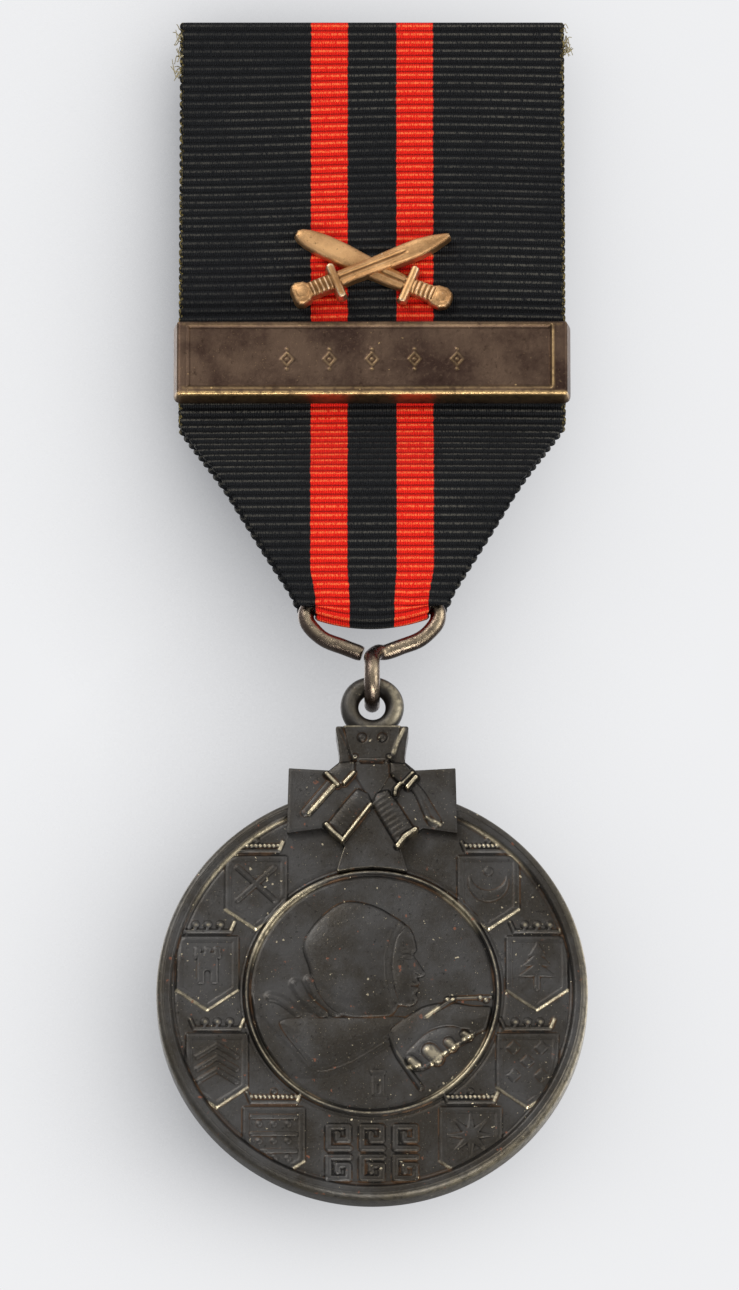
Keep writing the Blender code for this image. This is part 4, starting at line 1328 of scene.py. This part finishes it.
def make_medal_body():
    """The turned edge, with a painted highlight on its lower right stretch, strongest on the front corner."""
    profile = [  # radius, depth, and how strong its painted highlight is
        (15.2, -0.8, 0), (15.9, -1.0, 0), (15.93, -1.36, 0.05), (16.1, -1.36, 0.05), (16.32, -1.22, 0.15),
        (16.45, -1.0, 0.5), (DISC_RADIUS, -0.8, 0.3), (DISC_RADIUS, 0.8, 0.12), (16.45, 1.0, 0.2),
        (16.3, 1.2, 0.1), (16.05, 1.36, 0.05), (15.9, 1.3, 0), (15.9, 0.8, 0), (15.2, 0.7, 0),
    ]
    profile, corner = [point[:2] for point in profile], np.array([point[2] for point in profile])
    steps = 256
    angles = round_angles(steps)
    angles = np.where(angles > math.pi, angles - 2 * math.pi, angles)
    # the painted highlight is strongest at the right, a little below the middle
    side = np.exp(-(((angles + 0.35) / 0.95) ** 4)) + 0.25
    rub = (corner[:, None] * side).ravel()
    piece = lathe("medal_edge", profile, iron, steps, wear=np.zeros(len(rub)), rub=rub)
    show(piece, "medal", "blackened_iron")


def trophy_outline():
    """A crown over an equal-armed cross whose foot flares down to the medallion's ring."""
    right = [
        (0.0, 21.15), (2.72, 21.15), (2.8, 21.0), (2.62, 19.9), (2.48, 18.6), (2.55, 18.25), (3.3, 17.6),
        (6.4, 17.78), (6.47, 15.2), (6.52, 12.6), (3.9, 12.98), (3.15, 12.55), (2.1, 11.5), (2.45, 10.4),
        (2.7, 9.5),
    ]
    left = [(-x, z) for x, z in reversed(right) if x > 0]
    return right + [(1.35, 9.75), (0.0, 9.85), (-1.35, 9.75)] + left


ARM_LEFT = [(0.05, 14.9), (-0.35, 15.7), (-1.15, 16.1), (-1.95, 15.2), (-3.5, 13.2), (-2.35, 11.9)]
ARM_RIGHT = [(-0.05, 14.9), (0.35, 15.7), (1.2, 16.0), (1.9, 15.0), (3.3, 12.75), (1.95, 11.4)]
GAUNTLET_LEFT = [(-1.35, 18.25), (-2.5, 18.15), (-3.5, 17.3), (-2.65, 16.35), (-2.1, 16.45), (-1.35, 17.35)]
GAUNTLET_RIGHT = [(1.35, 18.2), (2.5, 18.05), (3.35, 17.1), (2.7, 16.2), (2.1, 16.5), (1.35, 17.3)]


STRAIGHT_EDGE = [(-2.85, 16.45), (-4.85, 14.1)]
SABRE_TIP = [(4.15, 13.75), (5.2, 13.25)]
CUFFS = [  # raised rims of the sleeves and gauntlets: points, radius, and how strong a painted highlight they carry
    ([(-3.5, 17.25), (-2.65, 16.35)], 0.09, 0.7), ([(3.35, 16.95), (2.72, 16.18)], 0.10, 0.75),
    ([(3.1, 17.3), (2.35, 16.5)], 0.05, 0), ([(-2.15, 16.5), (-1.4, 17.35)], 0.06, 0.5),
    ([(-3.5, 13.15), (-3.0, 12.55), (-2.35, 12.0)], 0.11, 0.8),
    ([(-0.1, 14.8), (-2.3, 11.85)], 0.05, 0.7),
    ([(3.3, 12.75), (2.55, 12.25), (1.95, 11.45)], 0.12, 0.95),
    ([(2.15, 16.45), (1.8, 16.0), (1.75, 15.6)], 0.07, 0),
]


def arm(height, x, z, corners, along):
    """A sleeve with ribbed bands that run across it."""
    sleeve = polygon(x, z, corners)
    bands = 0.018 * np.cos((x * along[0] + z * along[1]) * 2 * math.pi / 0.44)
    return over(height, sleeve, 0.14 + 0.26 * dome(sleeve, 0.8) + bands, 0.14)


def add_crown(height, x, z):
    right = [(2.25, 21.4), (1.85, 19.8), (1.5, 18.35)]
    left = [(-u, v) for u, v in reversed(right)]
    height = over(height, polygon(x, z, [*right, *left]), 0.24, 0.16)
    for sign in (-1, 1):
        edge = curved([(sign * 2.45, 21.0), (sign * 1.95, 19.9), (sign * 1.55, 18.5)], closed=False)
        side = stroke(x, z, edge, 0.03)
        pearl = circle(x, z, (sign * 0.78, 20.2), 0.34)
        height = height + 0.10 * bell(side, 0.10) + 0.15 * dome(pearl, 0.3) - 0.06 * bell(pearl, 0.1)
        for bead in ((sign * 1.3, 18.62), (sign * 1.1, 18.2)):
            height = height + 0.22 * dome(circle(x, z, bead, 0.22), 0.22)
    return groove(height, stroke(x, z, [(-1.25, 18.32), (1.25, 18.32)], 0.04), 0.12, 0.1)


def add_blades(height, x, z):
    straight = stroke(x, z, [(-3.0, 16.85), (-5.15, 14.2)], 0.30)
    height = over(height, straight, 0.08 + 0.10 * dome(straight, 0.3), 0.1)
    height = height + 0.22 * ridge(stroke(x, z, STRAIGHT_EDGE, 0.05), 0.09)
    middle = curved([(2.95, 16.6), (3.65, 15.7), (4.2, 14.6), (4.75, 13.5)], closed=False)
    sabre = stroke(x, z, middle, (0.26, 0.52))
    height = over(height, sabre, 0.06 + 0.12 * dome(sabre, 0.3), 0.1)
    height = groove(height, stroke(x, z, middle, 0.03), 0.05, 0.1)
    return height + 0.14 * ridge(stroke(x, z, SABRE_TIP, 0.05), 0.09)


def trophy_height(x, z):
    outline = polygon(x, z, trophy_outline())
    height = add_crown(0.03 - 0.12 * (1 - dome(outline, 0.22)), x, z)
    chest = [(-1.4, 18.1), (1.4, 18.1), (1.35, 17.3), (0.3, 15.5), (0, 15.0), (-0.3, 15.5), (-1.4, 17.3)]
    height = over(height, polygon(x, z, chest), 0.12, 0.14)
    foot = polygon(x, z, [(0.0, 15.0), (2.0, 11.45), (2.7, 9.0), (-2.9, 9.0), (-2.35, 11.85)])
    height = groove(over(height, foot, 0.10, 0.1), np.abs(foot), 0.10, 0.08)
    height = add_blades(height, x, z)
    height = arm(height, x, z, ARM_RIGHT, (0.55, -0.83))
    height = arm(height, x, z, ARM_LEFT, (-0.6, -0.8))
    for corners in (GAUNTLET_LEFT, GAUNTLET_RIGHT):
        hand = polygon(x, z, corners)
        height = over(height, hand, 0.20 + 0.24 * dome(hand, 0.7), 0.14)
    for points, radius, _ in CUFFS:
        height = np.maximum(height, 0.56 * ridge(stroke(x, z, points, radius), 0.10))
    return np.where(outline < 0, height, -0.1)


# painted highlights on the cuffs, the blades' edges, a gauntlet and the crown's right side
def trophy_highlights(x, z):
    lines = [(points, share) for points, _, share in CUFFS if share]
    lines += [(STRAIGHT_EDGE, 0.95), (SABRE_TIP, 0.45), ([(2.4, 20.9), (1.95, 19.9), (1.65, 19.0)], 0.4)]
    lines.append(([(2.15, 16.45), (1.8, 16.0)], 0.5))
    return np.maximum.reduce([line_rub(x, z, points, share, 0.09) for points, share in lines])


def make_trophy():
    outline = [(x, z + DISC_Z) for x, z in trophy_outline()]
    piece = relief_plate(
        "trophy", outline, lambda x, z: trophy_height(x, z - DISC_Z), 2.68, iron, 0.055, TROPHY_Y,
        rub=lambda x, z: trophy_highlights(x, z - DISC_Z),
    )
    show(piece, "medal", "blackened_iron")


def leaf(x, z, angle, radius, lean):
    """A bay leaf on a circle of that radius."""
    base = np.array([math.cos(angle), math.sin(angle)]) * radius
    way = angle + math.pi / 2 + lean
    length = 2.1 * np.array([math.cos(way), math.sin(way)])
    side = 0.42 * np.array([-math.sin(way), math.cos(way)])
    stations = ((0.3, 1.0), (0.62, 0.85))  # the leaf's half widths along it
    upper = [base + length * along + side * wide for along, wide in stations]
    lower = [base + length * along - side * wide for along, wide in reversed(stations)]
    blade = polygon(x, z, [base, *upper, base + length, *lower])
    rib = stroke(x, z, [base, base + length], 0.02)
    return 0.16 * dome(blade, 0.35) - 0.05 * bell(rib, 0.07) * (blade < 0)


def reverse_height(x, z):
    """A plain sunk field inside a rim, with an open wreath of bay leaves."""
    height = -0.25 + 0.25 * ease((np.hypot(x, z) - 15.2) / 0.35)
    radius = 12.6
    wreath = np.zeros(x.shape)
    for side in (-1, 1):
        stem = [(side * radius * math.sin(a), -radius * math.cos(a)) for a in np.linspace(0.05, 2.3, 40)]
        wreath = np.maximum(wreath, 0.12 * dome(stroke(x, z, stem, 0.16), 0.16))
        turn = 0 if side > 0 else math.pi
        for i in range(11):
            angle = -math.pi / 2 + side * (0.25 + 0.19 * i)
            for lean in (0.42, -0.42):
                wreath = np.maximum(wreath, leaf(x, z, angle, radius, turn + side * lean))
    return height + wreath


def make_reverse():
    around, rings = 480, 128
    x, z, faces = polar_grid(0.3, FACE_EDGE, rings, around)
    rise, wear = reverse_height(x, z), raised(reverse_height, x, z)
    points = np.stack([x, REVERSE_Y + rise, z + DISC_Z], 1)
    outer, inside = len(x) - around + np.arange(around), len(x) + np.arange(around)
    front = points[outer]
    front[:, 1] = REVERSE_Y - 0.7
    parts = [faces, band(outer, inside), [inside], [np.arange(around)]]
    wear = np.concatenate([wear, np.zeros(around)])
    piece = build_mesh("medal_reverse", np.concatenate([points, front]), parts, iron, wear=wear)
    show(piece, "medal", "blackened_iron")


# carried-over nodes, world and backdrop

KEPT = {
    "swords_prong_left": gilt_plain, "swords_prong_right": gilt_plain, "clasp_back_strap": bronze_plain,
    "brooch_plate": brass, "brooch_hinge_bracket": brass, "brooch_rivet": brass, "brooch_catch": brass,
    "brooch_needle": steel, "stitch_upper_left": sewing, "stitch_lower_left": sewing,
    "stitch_upper_right": sewing, "stitch_lower_right": sewing,
}


def finish_nodes():
    for name, finish in KEPT.items():
        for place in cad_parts[name].material_slots:
            place.material = finish


def make_world():
    """A pale room that is brighter above, and an even pale grey where the camera sees it."""
    world = bpy.data.worlds.new("studio")
    bpy.context.scene.world = world
    world.use_nodes = True
    nodes = Nodes(world.node_tree)
    plain = nodes.tree.nodes["Background"]
    nodes.join((0.865, 0.87, 0.885), plain.inputs["Color"])
    way = nodes.node("ShaderNodeSeparateXYZ")
    nodes.join(nodes.node("ShaderNodeTexCoord").outputs["Generated"], way.inputs[0])
    upward = nodes.ramp(way.outputs["Z"], -0.6, 0.9, kind="LINEAR")
    room = nodes.node("ShaderNodeBackground")
    nodes.join(nodes.blend(upward, (0.30, 0.31, 0.33), (0.95, 0.96, 1.0)), room.inputs["Color"])
    room.inputs["Strength"].default_value = 0.8
    seen = nodes.node("ShaderNodeLightPath").outputs["Is Camera Ray"]
    surface = nodes.cover(seen, room.outputs[0], plain.outputs[0])
    nodes.join(surface, nodes.tree.nodes["World Output"].inputs["Surface"])


BACKDROP = [(-90.0, 1.4, -150), (90.0, 1.4, -150), (90.0, 1.4, 60), (-90.0, 1.4, 60)]
SHADE_REACH = 20 * MM


def make_backdrop():
    """The surface that the medal lies on: clear, except for a painted soft shadow close to the medal, heavier
    at the left and lighter below."""
    material = bpy.data.materials.new("soft_shade")
    material.use_nodes = True
    nodes = Nodes(material.node_tree)
    nodes.tree.nodes.remove(nodes.tree.nodes["Principled BSDF"])
    near = nodes.node("ShaderNodeAmbientOcclusion", samples=12)
    near.inputs["Distance"].default_value = SHADE_REACH
    share = nodes.ramp(near.outputs["AO"], 1.0, 0.0, kind="LINEAR")
    geometry = nodes.node("ShaderNodeNewGeometry")
    front = nodes.number("SUBTRACT", 1.0, geometry.outputs["Backfacing"])
    seen = nodes.node("ShaderNodeLightPath").outputs["Is Camera Ray"]
    place = nodes.node("ShaderNodeSeparateXYZ")
    nodes.join(geometry.outputs["Position"], place.inputs[0])
    # the painted shadow is made heavier at the left and lighter below the medal
    lean = nodes.ramp(place.outputs["X"], -20 * MM, 20 * MM, 1.45, 0.55)
    below = nodes.ramp(place.outputs["Z"], -100 * MM, -84 * MM, 0.3, 1.0)
    shade = nodes.node("ShaderNodeEmission")
    nodes.join((0.16, 0.165, 0.18), shade.inputs["Color"])
    clear = nodes.node("ShaderNodeBsdfTransparent")
    surface = nodes.cover(nodes.product(seen, front, share, lean, below), clear.outputs[0], shade.outputs[0])
    nodes.join(surface, nodes.tree.nodes["Material Output"].inputs["Surface"])
    plane = build_mesh("backdrop", BACKDROP, [[(0, 1, 2, 3)]], material, keep=True)
    plane.visible_shadow = False


strip = make_ribbon()
frays = make_frays()
make_swords()
make_clasp()
make_stirrup()
make_eye()
make_medal_faces()
make_medal_body()
make_trophy()
make_reverse()
finish_nodes()
make_world()
make_backdrop()
bpy.context.scene.view_settings.view_transform = "Standard"
